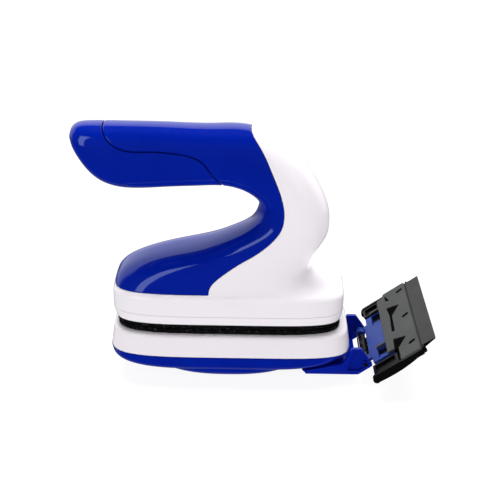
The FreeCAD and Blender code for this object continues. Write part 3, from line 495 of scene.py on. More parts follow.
# seams as the side shows them: white against blue from the top down, and the grip's S
NECK_SEAM = [(10.0, 162.0), (12.0, 155.5), (18.4, 145.3), (25.1, 131.3), (30.5, 116.9),
             (32.1, 106.0), (30.8, 98.4), (25.5, 90.8), (17.0, 83.8), (6.1, 77.3), (-4.2, 70.2),
             (-10.6, 62.6)]
NECK_FOOT = (-10.9, 59.95)
GRIP_SEAM = [(-71.6, 162.0), (-71.4, 155.1), (-67.0, 147.9), (-59.4, 143.9), (-44.4, 143.2),
             (-30.5, 142.5), (-20.1, 140.4), (-14.0, 136.8), (-9.5, 130.3), (-5.2, 124.8),
             (-2.0, 117.0)]
# from this section on, a whole ring of the skin lies on one section
FIRST_COMMON = 3.0
WALL_FILLET = 3.2
STEEPEST_FILLET = 0.02
MEETING_PLACES = np.linspace(0.0, 2.0, 81)
MEETING_ROUNDS = 3
WALL_STEPS, FILLET_STEPS, HOLLOW_STEPS, SETTLE_STEPS, RING_COUNT, TIP_STEPS = 6, 8, 14, 20, 150, 6
# the white neck's hollow foot: where it starts behind the seam, over what length it grows, how
# much of the fillet it takes and how far up the handle it reaches, most of all at the tail
HOLLOW_START = 3.0
HOLLOW_RUN = 26.0
HOLLOW_CUT = 0.45
HOLLOW_FADE = 1.4
HOLLOW_RISE = 0.62
SIDE_RISE = 0.4
TAIL_RISE = 1.1
TAIL_FROM, TAIL_RUN = 0.55, 0.4
# the dome's crisp foot
CRISP_RISE = 0.06
CRISP_TOE = 0.86
TIP_PUSH = np.array([-1.0, 0.0, 0.1])
TIP_DEPTH = 0.4


def section_knots():
    middle = (HANDLE_SECTIONS[:, 0:2] + HANDLE_SECTIONS[:, 2:4]) / 2
    run = np.linalg.norm(np.diff(middle, axis=0), axis=1)
    spread = np.linalg.norm(np.diff(HANDLE_SECTIONS[:, 0:4], axis=0), axis=1) / 2
    return np.concatenate([[0], np.cumsum(0.5 * run + 0.5 * spread)])


KNOTS = section_knots()


def handle_point(place, angle):
    """The handle's surface: place counts along the sections, angle 0 is the outside of the loop."""
    place = np.atleast_1d(place)
    at = np.interp(place, np.arange(len(KNOTS)), KNOTS)
    section = spline(KNOTS, HANDLE_SECTIONS, at)
    inner = section[:, 0:2]
    outer = section[:, 2:4]
    reach = np.linalg.norm(outer - inner, axis=1) / 2
    direction = (outer - inner) / (2 * reach[:, None])
    blunt = np.where(np.cos(angle) > 0, section[:, 6], section[:, 5])
    along, across = superellipse(angle, blunt)
    middle = (inner + outer) / 2 + direction * (reach * along)[:, None]
    return np.column_stack([middle[:, 0], section[:, 4] * across, middle[:, 1]])


def handle_ring(places):
    """One ring of the handle's surface, with its own place along the sections at every angle."""
    return np.array([handle_point(places[i], ANGLES[i:i + 1])[0] for i in range(AROUND)])


def meet_wall(outline, normals, level):
    """Where the handle leaves the wall, at every angle: place, inset and the fillet's turn."""
    start = np.zeros(AROUND)
    inset = np.zeros(AROUND)
    height = np.full(AROUND, BASE_TOP)
    for _ in range(MEETING_ROUNDS):
        for i, angle in enumerate(ANGLES):
            column = handle_point(MEETING_PLACES, np.full(len(MEETING_PLACES), angle))
            start[i] = np.interp(height[i], column[:, 2], MEETING_PLACES)
            point = np.array([np.interp(start[i], MEETING_PLACES, column[:, k]) for k in range(3)])
            inset[i] = float(np.dot(point[:2] - outline[i], normals[i]))
        bend = np.arccos(np.clip(1 - inset / WALL_FILLET, STEEPEST_FILLET, 1.0))
        height = np.where(inset < WALL_FILLET, level + WALL_FILLET * np.sin(bend), BASE_TOP)
    return start, inset, np.where(inset < WALL_FILLET, bend, math.pi / 2)


def wall_and_foot():
    """Rings up the base wall, over its fillet and into the handle, and the places where they end.

    The white neck runs into the wall in a wide hollow curve; the dome meets it in a crisp edge.
    """
    outline = plan(*BASE_HALF, BASE_SHIFT)
    normals = inward(outline)
    level = BASE_TOP - WALL_FILLET
    wall_low = TUB_HIGH + 0.5
    lip = [(1.9, TUB_HIGH + 0.04), (0.4, TUB_HIGH + 0.04), (0.16, TUB_HIGH + 0.14),
           (0.04, TUB_HIGH + 0.4)]
    wall = [(0.0, wall_low + (level - wall_low) * k / WALL_STEPS) for k in range(1, WALL_STEPS + 1)]
    rings = wall_rings(outline, lip + wall)
    start, inset, last_bend = meet_wall(outline, normals, level)
    corner = handle_ring(start)
    softness = smoothstep((corner[:, 0] - NECK_FOOT[0] - HOLLOW_START) / HOLLOW_RUN)
    fade = smoothstep((WALL_FILLET - inset) / HOLLOW_FADE)
    soft_bend = last_bend * (1 - HOLLOW_CUT * softness * fade)
    for k in range(1, FILLET_STEPS + 1):
        turn = soft_bend * k / FILLET_STEPS
        ring = outline + normals * (WALL_FILLET * (1 - np.cos(turn)))[:, None]
        rings.append(np.column_stack([ring, level + WALL_FILLET * np.sin(turn)]))
    leave = rings[-1]
    tail = smoothstep((np.cos(ANGLES) - TAIL_FROM) / TAIL_RUN)
    rise = SIDE_RISE + softness * (1.0 + TAIL_RISE * tail)
    ends = start + CRISP_RISE + softness * rise * HOLLOW_RISE
    landing = handle_ring(ends)
    toe = leave + (corner - leave) * (CRISP_TOE * (1 - softness)[:, None])
    rings.append(toe)
    for k in range(1, HOLLOW_STEPS + 1):
        t = k / HOLLOW_STEPS
        rings.append(toe * (1 - t) ** 2 + corner * 2 * t * (1 - t) + landing * t * t)
    return rings, ends


def base_and_handle():
    """Rings from the lower edge of the base wall to the tip of the grip."""
    rings, ends = wall_and_foot()
    # settle to sections shared by the whole ring, then follow them to the tip
    for k in range(1, SETTLE_STEPS + 1):
        t = k / SETTLE_STEPS
        rings.append(handle_ring(ends * (1 - t) + FIRST_COMMON * t))
    sections = np.arange(len(KNOTS))
    total = KNOTS[-1] - np.interp(FIRST_COMMON, sections, KNOTS)
    for k in range(1, RING_COUNT + 1):
        at = KNOTS[-1] - total * (1 - k / RING_COUNT)
        place = float(np.interp(at, KNOTS, sections))
        rings.append(handle_point(np.full(AROUND, place), ANGLES))
    # a rounded tip
    edge = rings[-1]
    centre = edge.mean(axis=0)
    for k in range(1, TIP_STEPS):
        turn = math.pi / 2 * k / TIP_STEPS
        rings.append(centre + (edge - centre) * math.cos(turn)
                     + TIP_PUSH * TIP_DEPTH * math.sin(turn))
    return rings


def polygon_side(points, polygon):
    """True for points inside a polygon."""
    x, z = points[:, 0], points[:, 1]
    inside = np.zeros(len(points), bool)
    for (x0, z0), (x1, z1) in zip(polygon, np.roll(polygon, -1, axis=0)):
        crosses = (z0 > z) != (z1 > z)
        if abs(z1 - z0) > 1e-12:
            inside ^= crosses & (x < (x1 - x0) * (z - z0) / (z1 - z0) + x0)
    return inside


def line_distance(points, line):
    """Distance of points from a polyline."""
    best = np.full(len(points), 1e9)
    for a, b in zip(line[:-1], line[1:]):
        run = b - a
        t = np.clip(((points - a) @ run) / (run @ run), 0, 1)
        best = np.minimum(best, np.linalg.norm(points - a - t[:, None] * run, axis=1))
    return best


def seam_field(line, closing):
    """A function of (x, z) points: distance from the seam line, positive on its enclosed side."""
    polygon = np.concatenate([line, np.array(closing, float)])

    def field(points):
        distance = line_distance(points, line)
        return np.where(polygon_side(points, polygon), distance, -distance)

    return field


# where the enclosed sides close
PAST_NOSE = -110.0
OVER_HANDLE = 162.0
UNDER_GRIP = 105.0
dome_foot = np.array([(x, NECK_FOOT[1]) for x in (-30.0, -60.0, PAST_NOSE)])
neck_line = np.concatenate([smooth_line(NECK_SEAM + [NECK_FOOT], 150), dome_foot])
blue_side = seam_field(neck_line, [(PAST_NOSE, OVER_HANDLE)])
grip_corners = [(GRIP_SEAM[-1][0], UNDER_GRIP), (PAST_NOSE, UNDER_GRIP), (PAST_NOSE, OVER_HANDLE)]
grip_side = seam_field(smooth_line(GRIP_SEAM, 130), grip_corners)
# half the gap along a seam and how wide its rounded lip is
GAP, LIP = 0.1, 0.35
GRIP_GAP, GRIP_LIP = 0.2, 0.9
# where the mesh is cut across the lip, and how far round the lip goes, in shares of its width
LIP_CUTS = (0.0, 0.12, 0.45, 1.0)
LIP_END = 0.995
# a vertex nearer to a level line than this counts as on it
ON_LINE = 0.012


def field_values(bm, field):
    """The value of a side-view field at every vertex."""
    bm.verts.ensure_lookup_table()
    return field(np.array([(v.co.x, v.co.z) for v in bm.verts]))


def cut_at(bm, field, level):
    """Splits the mesh along a level line of a side-view field."""
    values = field_values(bm, field) - level
    values[np.abs(values) < ON_LINE] = 0.0
    known = {v: values[i] for i, v in enumerate(bm.verts)}
    crossing = [e for e in bm.edges if known[e.verts[0]] * known[e.verts[1]] < 0]
    fresh = []
    for edge in crossing:
        a, b = edge.verts
        share = known[a] / (known[a] - known[b])
        _, made = bmesh.utils.edge_split(edge, a, share)
        fresh.append(made)
    on_line = set(fresh) | {v for v in known if known[v] == 0.0}
    for face in list(bm.faces):
        marked = [v for v in face.verts if v in on_line]
        if len(marked) != 2:
            continue
        joined = any(e.other_vert(marked[0]) is marked[1] for e in marked[0].link_edges
                     if face in e.link_faces)
        if not joined:
            bmesh.utils.face_split(face, marked[0], marked[1])


def trimmed(bm, field, keep, gap=GAP, lip=LIP):
    """The part of the mesh on one side of a seam, +1 or -1, with a rounded edge along it."""
    def signed(points):
        return field(points) * keep

    for share in LIP_CUTS:
        cut_at(bm, signed, gap + lip * share)
    centres = np.array([(f.calc_center_median().x, f.calc_center_median().z) for f in bm.faces])
    inside = signed(centres) > gap
    outside = [face for face, kept in zip(list(bm.faces), inside) if not kept]
    bmesh.ops.delete(bm, geom=outside, context="FACES")
    bm.normal_update()
    values = field_values(bm, signed)
    normals = [v.normal.copy() for v in bm.verts]
    for vertex, value, normal in zip(bm.verts, values, normals):
        within = (gap + lip - value) / lip
        if within > 0:
            vertex.co -= normal * (lip * (1 - math.sqrt(1 - min(within, LIP_END) ** 2)))
    return bm


SKIN_WALL = 1.7
skin = ring_surface(base_and_handle(), cap_end=True)
white_part = trimmed(skin.copy(), blue_side, -1)
blue_part = trimmed(skin, blue_side, 1)
lower_part = trimmed(blue_part.copy(), grip_side, 1, GRIP_GAP, GRIP_LIP)
loop_part = trimmed(blue_part, grip_side, -1, GRIP_GAP, GRIP_LIP)
place_piece("housing_shell", thickened(white_part, SKIN_WALL), "handle_unit",
            WHITE, "outer_housing")
place_piece("loop_shell_skin", thickened(loop_part, SKIN_WALL), "handle_unit",
            BLUE, "loop_shell")
place_piece("grip_lower_skin", thickened(lower_part, SKIN_WALL), "handle_unit",
            BLUE, "grip_lower_shell")

# ---- Tub under the base, white shell of the float, and the float's hull ----
SHELL_WALL = 1.8
TUB_SLOT = 0.16
TUB_LEAN = 0.9
TUB_RIM = 2.2
tub_inset = TUB_SLOT + TUB_LEAN
tub_profile = ([(2.0, TUB_HIGH - 0.14), (0.5, TUB_HIGH - 0.14), (0.26, TUB_HIGH - 0.24),
                (TUB_SLOT, TUB_HIGH - 0.5)]
               + [(TUB_SLOT + TUB_LEAN * (k / 6) ** 2, TUB_HIGH - 0.65 - 3.6 * k / 6)
                  for k in range(1, 7)]
               + arc(tub_inset + TUB_RIM, TUB_LOW + TUB_RIM, TUB_RIM, 0, -90, 8)
               + [(6.0, TUB_LOW), (12.0, TUB_LOW)])
tub_skin = ring_surface(wall_rings(plan(*BASE_HALF, BASE_SHIFT), tub_profile)[::-1], cap_start=True)
place_piece("tub_shell", thickened(tub_skin, SHELL_WALL), "handle_unit", WHITE,
            "outer_base_plate")

SHELL_LEAN = 1.5
SHELL_RIM = 2.2


def lean(share):
    """How far the float's white shell leans in, at a share of its height."""
    return SHELL_LEAN * share ** 1.3


straight = INNER_TOP - SEAM - 0.5 - SHELL_RIM
shell_profile = ([(1.9, SEAM + 0.12), (0.5, SEAM + 0.12), (0.2, SEAM + 0.2), (0.03, SEAM + 0.5)]
                 + [(lean(k / 10), SEAM + 0.5 + straight * k / 10) for k in range(1, 11)]
                 + arc(SHELL_LEAN + SHELL_RIM, INNER_TOP - SHELL_RIM, SHELL_RIM, 8, 90, 8)
                 + [(SHELL_LEAN + SHELL_RIM + flat, INNER_TOP) for flat in (4.0, 9.0)])
shell_skin = ring_surface(wall_rings(plan(*FLOAT_HALF, FLOAT_SHIFT), shell_profile), cap_end=True)
place_piece("float_shell_white", thickened(shell_skin, SHELL_WALL), "float_unit",
            WHITE, "inner_housing")

# rows of height, half length, half width and shift, from the top down
HULL_LEVELS = np.array([
    (SEAM, *FLOAT_HALF, FLOAT_SHIFT),
    (17.5, 70.35, 29.8, 0.75),
    (14.5, 67.5, 28.7, -0.3),
    (11.5, 61.9, 26.8, -1.1),
    (9.5, 52.7, 24.4, -1.2),
    (8.5, 41.0, 20.5, -1.0),
])
KEEL_LEVELS = np.array([
    (10.5, 46.0, 25.0, 0.0),
    (8.0, 44.4, 24.3, 0.0),
    (5.5, 41.6, 22.6, 0.0),
    (3.0, 34.6, 19.4, 0.0),
    (1.2, 25.2, 15.6, 0.0),
    (0.45, 19.6, 12.9, 0.0),
    (0.0, 15.0, 10.5, 0.0),
])
KEEL_BLUNTNESS = 2.5


def level_rings(levels, count, nose, tail):
    """Rings of a hull from its rows of levels."""
    length = np.concatenate([[0], np.cumsum(np.linalg.norm(np.diff(levels, axis=0), axis=1))])
    rows = spline(length, levels, np.linspace(0, length[-1], count))
    return [np.column_stack([plan(half_x, half_y, shift, nose, tail),
                             np.full(AROUND, max(height, 0.0))])
            for height, half_x, half_y, shift in rows]


LIP_ROOM = 0.5
LIP_FADE = 3
hull_rings = level_rings(HULL_LEVELS, 40, NOSE_BLUNTNESS, TAIL_BLUNTNESS)
for ring in hull_rings:
    # room for a rounded lip under the white shell
    ring[:, 2] -= LIP_ROOM * np.clip(1 - (SEAM - ring[:, 2]) / LIP_FADE, 0, 1)
lip_rings = wall_rings(plan(*FLOAT_HALF, FLOAT_SHIFT),
                       [(inset, SEAM - drop) for inset, drop in (
                           (2.4, 0.05), (0.6, 0.05), (0.25, 0.06), (-0.02, 0.14), (-0.2, 0.3),
                           (-0.22, 0.48), (-0.12, 0.7))])
# a fine bead where the sides turn into the flat bottom
bead = wall_rings(plan(*HULL_LEVELS[-1, 1:]), [(-0.35, 8.62), (-0.5, 8.46), (-0.4, 8.26),
                                               (0.0, 8.18), (1.2, 8.3), (2.0, 8.5)])
hull_bm = ring_surface((lip_rings + hull_rings[2:-1] + bead)[::-1], True, True)
keel_rings = level_rings(KEEL_LEVELS, 36, KEEL_BLUNTNESS, KEEL_BLUNTNESS)
keel_bm = ring_surface(keel_rings[::-1], True, True)


def rectangle(start, end, near, far):
    return [(start, near), (end, near), (end, far), (start, far)]


rail_stem = prism(rectangle(47.5, 68.0, -4.7, 4.7), 5.0, 13.0)
rail_head = prism(rectangle(47.5, 68.0, -7.5, 7.5), 4.1, 5.8)
hull_solid = combine(hull_bm, "UNION", keel_bm, rail_stem, rail_head)
place_piece("float_hull", hull_solid, "float_unit", BLUE, "float_cover", sharp=24.0)


# ---- Fibre pads ----
PAD_NOSE, PAD_TAIL = 4.0, 4.4
PAD_HARMONICS = (3, 7, 16, 41, 67, 97)
# shares of the half width at which the flat faces have rings, and of the thickness up the edge
FACE_SHARES = (0.93, 0.7, 0.45, 0.2)
EDGE_SHARES = (0.25, 0.36, 0.48, 0.6, 0.72)
WORN, FLAT = 1.0, 0.25
FIBRE_COUNT = 5200
FIBRE_THIN = 0.045


def fibre(low, high, outline, normals, rng, bm):
    """One loose fibre that stands out of the pad's edge."""
    at = rng.integers(0, AROUND)
    share = rng.uniform()
    base = outline[at] * (1 - share) + outline[(at + 1) % AROUND] * share
    out = -normals[at]
    along = np.array([-out[1], out[0]])
    height = low[2] + rng.uniform(0.25, high[2] - low[2] - 0.25)
    root = np.array([*(base - out * 0.35), height])
    direction = np.array([*(out + along * rng.normal(0, 0.8)), rng.normal(0, 0.5)])
    direction /= np.linalg.norm(direction)
    length = rng.uniform(0.35, 1.05)
    droop = np.array([*(along * rng.normal(0, 0.4)), rng.normal(-0.1, 0.3)])
    width = np.cross(direction, [0.0, 0.0, 1.0])
    width /= np.linalg.norm(width) + 1e-9
    lift = np.cross(width, direction)
    middle = root + direction * length * 0.55
    tip = root + direction * length + droop * length * 0.5
    tip[2] = min(max(tip[2], low[2] - 0.02), high[2] + 0.02)
    middle[2] = min(max(middle[2], low[2]), high[2])
    rows = []
    for point, size in ((root, FIBRE_THIN), (middle, FIBRE_THIN * 0.8)):
        behind = point - width * size * 0.5
        rows.append([bm.verts.new(point + width * size), bm.verts.new(behind + lift * size),
                     bm.verts.new(behind - lift * size)])
    end = bm.verts.new(tip)
    for i in range(3):
        j = (i + 1) % 3
        bm.faces.new((rows[0][i], rows[0][j], rows[1][j], rows[1][i]))
        bm.faces.new((rows[1][i], rows[1][j], end))
    bm.faces.new(rows[0][::-1])


def fibre_pad(name, body, node, seed, glued_on_top):
    """A felt pad with a soft worn edge and a fringe of short fibres."""
    rng = np.random.default_rng(seed)
    low, high = (np.array(corner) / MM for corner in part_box(node))
    centre = (low + high) / 2
    half_x, half_y = (high - low)[:2] / 2
    outline = plan(half_x, half_y, centre[0], PAD_NOSE, PAD_TAIL)
    thick = high[2] - low[2]
    profile = [(half_y * share, rise) for share, rise in zip(FACE_SHARES, (0.06, 0.02, 0.0, 0.0))]
    profile += [(1.1, 0.0), (0.45, 0.12), (0.12, 0.4)]
    profile += [(-0.05, thick * share) for share in EDGE_SHARES]
    profile += [(0.1, thick - 0.5), (0.5, thick - 0.12), (1.2, thick)]
    profile += [(half_y * share, thick) for share in FACE_SHARES[::-1]]
    rings = wall_rings(outline, profile)
    wave = np.zeros(AROUND)
    for harmonic in PAD_HARMONICS:
        phase = rng.uniform(0, ROUND)
        wave += math.sqrt(3 / harmonic) * 0.09 * np.sin(harmonic * ANGLES + phase)
    normals = inward(outline)
    faces = len(FACE_SHARES)
    for k, ring in enumerate(rings):
        edge = WORN if faces <= k < len(rings) - faces else FLAT
        rough = rng.normal(0, 0.07, AROUND) * edge
        ring[:, :2] += normals * (wave * edge * 0.8 + rough)[:, None]
        ring[:, 2] += rng.normal(0, 0.05, AROUND) * edge
        ring[:, 2] = np.clip(ring[:, 2], 0.0, thick)
        if not glued_on_top:
            ring[:, 2] = thick - ring[:, 2]
        ring[:, 2] += low[2]
    pad = place_piece(name, ring_surface(rings, True, True), body, FELT, node,
                      sharp=80)
    bm = bmesh.new()
    for _ in range(FIBRE_COUNT):
        fibre(low, high, outline, normals, rng, bm)
    place_piece(f"{name}_fringe", bm, body, FIBRES, sharp=180)


fibre_pad("felt_pad_fibre", "handle_unit", "felt_pad", 11, True)
fibre_pad("scrub_pad_fibre", "float_unit", "scrub_pad", 12, False)

# ---- Scraper bracket ----
PIVOT = (83.5, 13.0)
PIN = Vector((PIVOT[0], 0, PIVOT[1]))
PIN_BORE = 1.25


def disc(x, y, radius, count=36):
    turns = [ROUND * k / count for k in range(count)]
    return [(x + radius * math.cos(turn), y + radius * math.sin(turn)) for turn in turns]


def place_flat(name, bm, body, material, node):
    """A piece with flat sides, each shaded evenly, that stands for one node."""
    place_piece(name, bm, body, material, node, sharp=60.0, flat_sided=True)


def both_sides(outline, near, far, turn):
    """Two blocks over the same side drawing, one on each side of the middle."""
    return prism(outline, near, far, turn), prism(outline, -far, -near, turn)


# the bracket's side drawing, in x and z
TONGUE_LOW, TONGUE_HIGH = 6.1, 8.1
ARM_INSIDE, ARM_OUTSIDE = 20.3, 22.5
HOLLOW_FLOOR = 21.1
tongue = prism([(45.4, TONGUE_HIGH), (47.4, TONGUE_LOW), (79.0, TONGUE_LOW), (79.0, TONGUE_HIGH)],
               -21.4, 21.4, SIDEWAYS)
arm_outline = rounded([(47.4, TONGUE_LOW), (79.4, TONGUE_LOW), (87.5, 12.2), (87.5, 13.4),
                       (80.4, 23.6), (75.0, 23.6), (69.6, 13.0), (47.4, TONGUE_HIGH)],
                      [0.4, 2.5, 1.0, 1.0, 1.2, 0.9, 3.0, 0.4])
arms = both_sides(arm_outline, ARM_INSIDE, ARM_OUTSIDE, SIDEWAYS)
pin_bosses = both_sides(disc(*PIVOT, 2.1), 20.6, 22.2, SIDEWAYS)
hollow_outline = rounded([(72.8, 8.6), (79.8, 8.6), (85.9, 13.0), (79.7, 22.4), (76.1, 22.4)], 0.8)
hollows = both_sides(hollow_outline, HOLLOW_FLOOR, 24.0, SIDEWAYS)
rail_slot = prism(rounded(rectangle(40.0, 68.3, -5.0, 5.0), 0.6), 5.0, 9.0)
bracket_bore = prism(disc(*PIVOT, PIN_BORE), -24.0, 24.0, SIDEWAYS)
bracket_solid = combine(combine(tongue, "UNION", *arms), "DIFFERENCE", *hollows, rail_slot)
bracket_solid = combine(combine(bracket_solid, "UNION", *pin_bosses), "DIFFERENCE", bracket_bore)
place_flat("bracket_arms", bevelled(bracket_solid, 0.45, 3), "bracket_unit", NAVY,
           "scraper_bracket")

# ---- Scraper, drawn in its own tilted frame: along the slope, across, and up from the pin ----
SCRAPER_TILT = math.radians(36.0)
SCRAPER = Matrix.Translation(PIN) @ Matrix.Rotation(-SCRAPER_TILT, 4, "Y")
ALONG = SCRAPER @ SIDEWAYS
BARREL_RADIUS = 2.8
OPENING = (9.6, 19.2)
STEP_LEVEL = -0.72
BOX = (4.8, 21.6)
BOX_CORNERS = [0.9, 0.5, 0.5, 0.9]


def plate(outline, low, high):
    return prism(outline, low, high, SCRAPER)


def rounded_plate(corners, radius, low, high):
    return plate(rounded(rectangle(*corners), radius), low, high)


wings = rounded_plate((5.6, 20.0, -27.0, 27.0), [1.2, 0.4, 0.4, 1.2], -0.9, 0.9)
webs = [plate(rectangle(0.0, 7.0, 14.2, 20.0), -0.88, 0.88),
        plate(rectangle(0.0, 7.0, -20.0, -14.2), -0.88, 0.88),
        plate(rectangle(4.0, 7.0, -15.0, 15.0), -0.86, 0.86)]
knuckles = both_sides(disc(0.0, 0.0, BARREL_RADIUS), 14.2, 20.0, ALONG)
swing_solid = combine(wings, "UNION", *webs, *knuckles)
# two openings beside the clamp's fingers, each with a lower step in its near half
openings = [rounded_plate((*OPENING, near, far), 0.5, level, 2.0)
            for near, far, level in ((20.6, 26.4, -2.0), (14.6, 21.4, STEP_LEVEL),
                                     (-20.2, -15.4, -2.0), (-25.4, -19.6, STEP_LEVEL))]
swing_bore = prism(disc(0.0, 0.0, PIN_BORE), -21.0, 21.0, ALONG)
swing_solid = combine(swing_solid, "DIFFERENCE", *openings, swing_bore)
place_flat("swing_plate_detailed", bevelled(swing_solid, 0.22), "scraper_unit",
           PALE_BLUE, "swing_plate")

carrier_floor = rounded_plate((8.6, 37.0, -42.2, 42.2), 0.5, -2.7, -1.1)
end_boxes = [rounded_plate((*BOX, near, far), BOX_CORNERS, -2.72, 0.9)
             for near, far in ((30.0, 40.0), (-40.0, -30.0))]
box_links = [plate(rectangle(5.4, 21.0, near, far), -2.5, -0.3)
             for near, far in ((39.0, 41.6), (-41.6, -39.0))]
belly = smooth_line([(5.6, -3.8), (13.0, -4.2), (22.0, -4.0), (30.0, -3.0), (36.0, -1.8)], 14)
end_wall_outline = ([(24.0, 0.86), (22.5, 1.3), (5.2, 1.3), (3.4, 0.2), (2.7, -1.6), (3.4, -3.3)]
                    + [tuple(point) for point in belly]
                    + rounded([(37.4, -2.3), (39.2, -1.7), (39.4, 0.6), (38.9, 2.0),
                               (37.75, 2.0)], 0.4)
                    + [(37.6, 0.86)])
end_walls = both_sides(end_wall_outline, 40.9, 42.5, ALONG)
end_lugs = both_sides(disc(4.8, -1.7, 2.3), 39.3, 42.45, ALONG)
hub_tail = plate(rectangle(0.0, 12.4, -9.5, 9.5), -2.68, -1.12)
hub_barrel = prism(disc(0.0, 0.0, BARREL_RADIUS), -9.6, 9.6, ALONG)
carrier_solid = combine(carrier_floor, "UNION", *end_boxes, *box_links, *end_walls, *end_lugs,
                        hub_tail, hub_barrel)
box_hollows = [rounded_plate((6.3, 15.2, 31.4, 38.8), 0.6, -0.6, 2.0),
               rounded_plate((6.3, 19.8, -38.8, -31.4), 0.6, -0.6, 2.0)]
hub_bore = prism(disc(0.0, 0.0, PIN_BORE), -11.0, 11.0, ALONG)
hub_flats = [prism(rectangle(-1.6, 1.6, 2.3, 4.0), low, high, ALONG)
             for low, high in ((-8.0, -2.2), (2.2, 8.0))]
carrier_solid = combine(carrier_solid, "DIFFERENCE", *box_hollows, hub_bore, *hub_flats)
place_flat("blade_carrier_detailed", bevelled(carrier_solid, 0.24), "scraper_unit",
           CARRIER_BLACK, "blade_carrier")

# the clamp: how far it reaches along the slope and across, and the tips of its two fingers
CLAMP_REAR, CLAMP_FRONT, CLAMP_HALF = 16.4, 37.4, 42.5
FINGER_TIP = 9.6
clamp_outline = rounded(
    [(CLAMP_REAR, -27.5), (21.7, -27.5), (23.8, -29.0), (23.8, -CLAMP_HALF),
     (CLAMP_FRONT, -CLAMP_HALF), (CLAMP_FRONT, CLAMP_HALF), (21.6, CLAMP_HALF), (19.8, 38.5),
     (CLAMP_REAR, 38.5), (CLAMP_REAR, 29.8), (FINGER_TIP, 29.8), (FINGER_TIP, 28.2),
     (CLAMP_REAR, 28.2), (CLAMP_REAR, -13.4), (FINGER_TIP, -13.4), (FINGER_TIP, -15.0),
     (CLAMP_REAR, -15.0)],
    [0.6, 0.4, 0.6, 0.6, 1.0, 1.6, 0.8, 1.2, 1.6, 0.4, 0.6, 0.6, 0.4, 0.4, 0.6, 0.6, 0.4])
middle_funnel = [(21.6, 23.0), (30.6, 19.0), (24.4, 10.0), (24.0, -8.6), (21.8, -8.0), (22.8, 11.5)]
near_funnel = [(21.6, -16.7), (30.3, -20.9), (24.0, -29.2), (21.0, -29.2), (21.0, -27.0)]
far_triangle = [(22.0, 40.2), (25.0, 30.2), (22.2, 32.0)]
clamp_windows = [plate(rounded(outline, 0.35, 3), 0.0, 3.0)
                 for outline in (middle_funnel, near_funnel, far_triangle)]
SLOT_SLANT = math.radians(19.0)
SLOT_REACH = 32.8
SLOT_STEPS = 8
RIVET_SLOTS = (-30.6, 2.5, 35.3)


def slot_outline(middle, half_length, half_width):
    """A slanted slot with round ends."""
    ends = []
    for start, sign in ((-math.pi / 2, 1), (math.pi / 2, -1)):
        x = SLOT_REACH + sign * half_length * math.cos(SLOT_SLANT)
        y = middle + sign * half_length * math.sin(SLOT_SLANT)
        for step in range(SLOT_STEPS + 1):
            angle = SLOT_SLANT + start + math.pi * step / SLOT_STEPS
            ends.append((x + half_width * math.cos(angle), y + half_width * math.sin(angle)))
    return ends


def rivet_plates(half_length, half_width, low, high):
    return [plate(slot_outline(middle, half_length, half_width), low, high)
            for middle in RIVET_SLOTS]


clamp_slots = rivet_plates(1.1, 1.35, 0.0, 3.0)
front_slope = prism([(36.5, 2.6), (37.5, 1.0), (39.0, 1.0), (39.0, 2.6)], -44.0, 44.0, ALONG)
clamp_solid = combine(plate(clamp_outline, 1.0, 2.4), "DIFFERENCE", *clamp_windows, *clamp_slots,
                      front_slope)
place_flat("blade_clamp_detailed", bevelled(clamp_solid, 0.26), "scraper_unit",
           CLAMP_GREY, "blade_clamp")

BLADE_REAR, BLADE_BODY, BLADE_TIP = 25.0, 37.9, 47.2
blade_sheet = prism([(BLADE_REAR, 0.1), (BLADE_BODY, 0.1), (BLADE_TIP, 1.9), (BLADE_TIP, 2.1),
                     (BLADE_BODY, 2.1), (BLADE_BODY, 0.9), (BLADE_REAR, 0.9)], -40.2, 40.2, ALONG)
blade_solid = combine(blade_sheet, "DIFFERENCE", *rivet_plates(1.1, 1.4, -1.0, 2.0))
place_flat("blade_detailed", bevelled(blade_solid, 0.07, 1), "scraper_unit",
           BLADE_GREY, "scraper_blade")

# black strips on the ends of the blade: the carrier's end arms, which also stand in for painted
# shade along the blade's end edges; black blocks in the clamp's windows and rivet slots: painted
# shade that stands in for the dark, shadowed depth of these openings
SHADE_LEVELS = (0.95, 1.95)
strips = both_sides([(37.6, 0.0), (46.9, 1.82), (46.9, 1.95), (37.6, 1.95)], 40.25, 41.0, ALONG)
shade_blocks = [plate(outline, *SHADE_LEVELS) for outline in (
    [(21.7, 22.5), (30.0, 18.9), (24.3, 10.0), (23.9, -8.5), (21.9, -7.9), (22.8, 11.5)],
    [(21.7, -17.1), (29.8, -20.9), (23.9, -28.8), (21.6, -28.8)],
    [(22.1, 39.8), (24.7, 30.6), (22.3, 32.3)])]
strips_and_shade_solid, *blocks = [*strips, *shade_blocks, *rivet_plates(1.08, 1.28, 0.0, 2.25)]
for block in blocks:
    strips_and_shade_solid.from_mesh(as_mesh(block))
# painted shade: the black fill that darkens the windows, the slots and the blade's ends
place_piece("clamp_painted_shade", bevelled(strips_and_shade_solid, 0.06, 1), "scraper_unit",
            SHADE_BLACK, sharp=40.0)

# the spring's long leg lies on the hub: distance from the pin, direction round it, and y
leg_path = [PIN + Vector((reach * math.cos(math.radians(turn)), across,
                          reach * math.sin(math.radians(turn))))
            for reach, turn, across in ((2.1, 160, -10.4), (3.0, 150, -10.1), (3.3, 140, -9.2),
                                        (3.3, 136, -4.0), (3.3, 136, 3.0), (3.4, 136, 8.4))]
place_piece("spring_leg", tube(leg_path, 0.33), "bracket_unit", WIRE, sharp=60.0)

# ---- CAD pieces that stay get their finishes ----
CARRIED = {"base_screws": STEEL, "pivot_pin": STEEL, "torsion_spring": WIRE}
for side in ("inner", "outer"):
    CARRIED |= {f"{side}_yoke_plate": STEEL, f"{side}_magnet_tray": TRAY_GREY}
    CARRIED |= {f"{side}_magnet_{number}": NICKEL for number in range(1, 5)}
for node, material in CARRIED.items():
    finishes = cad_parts[node].data.materials
    finishes.clear()
    finishes.append(material)

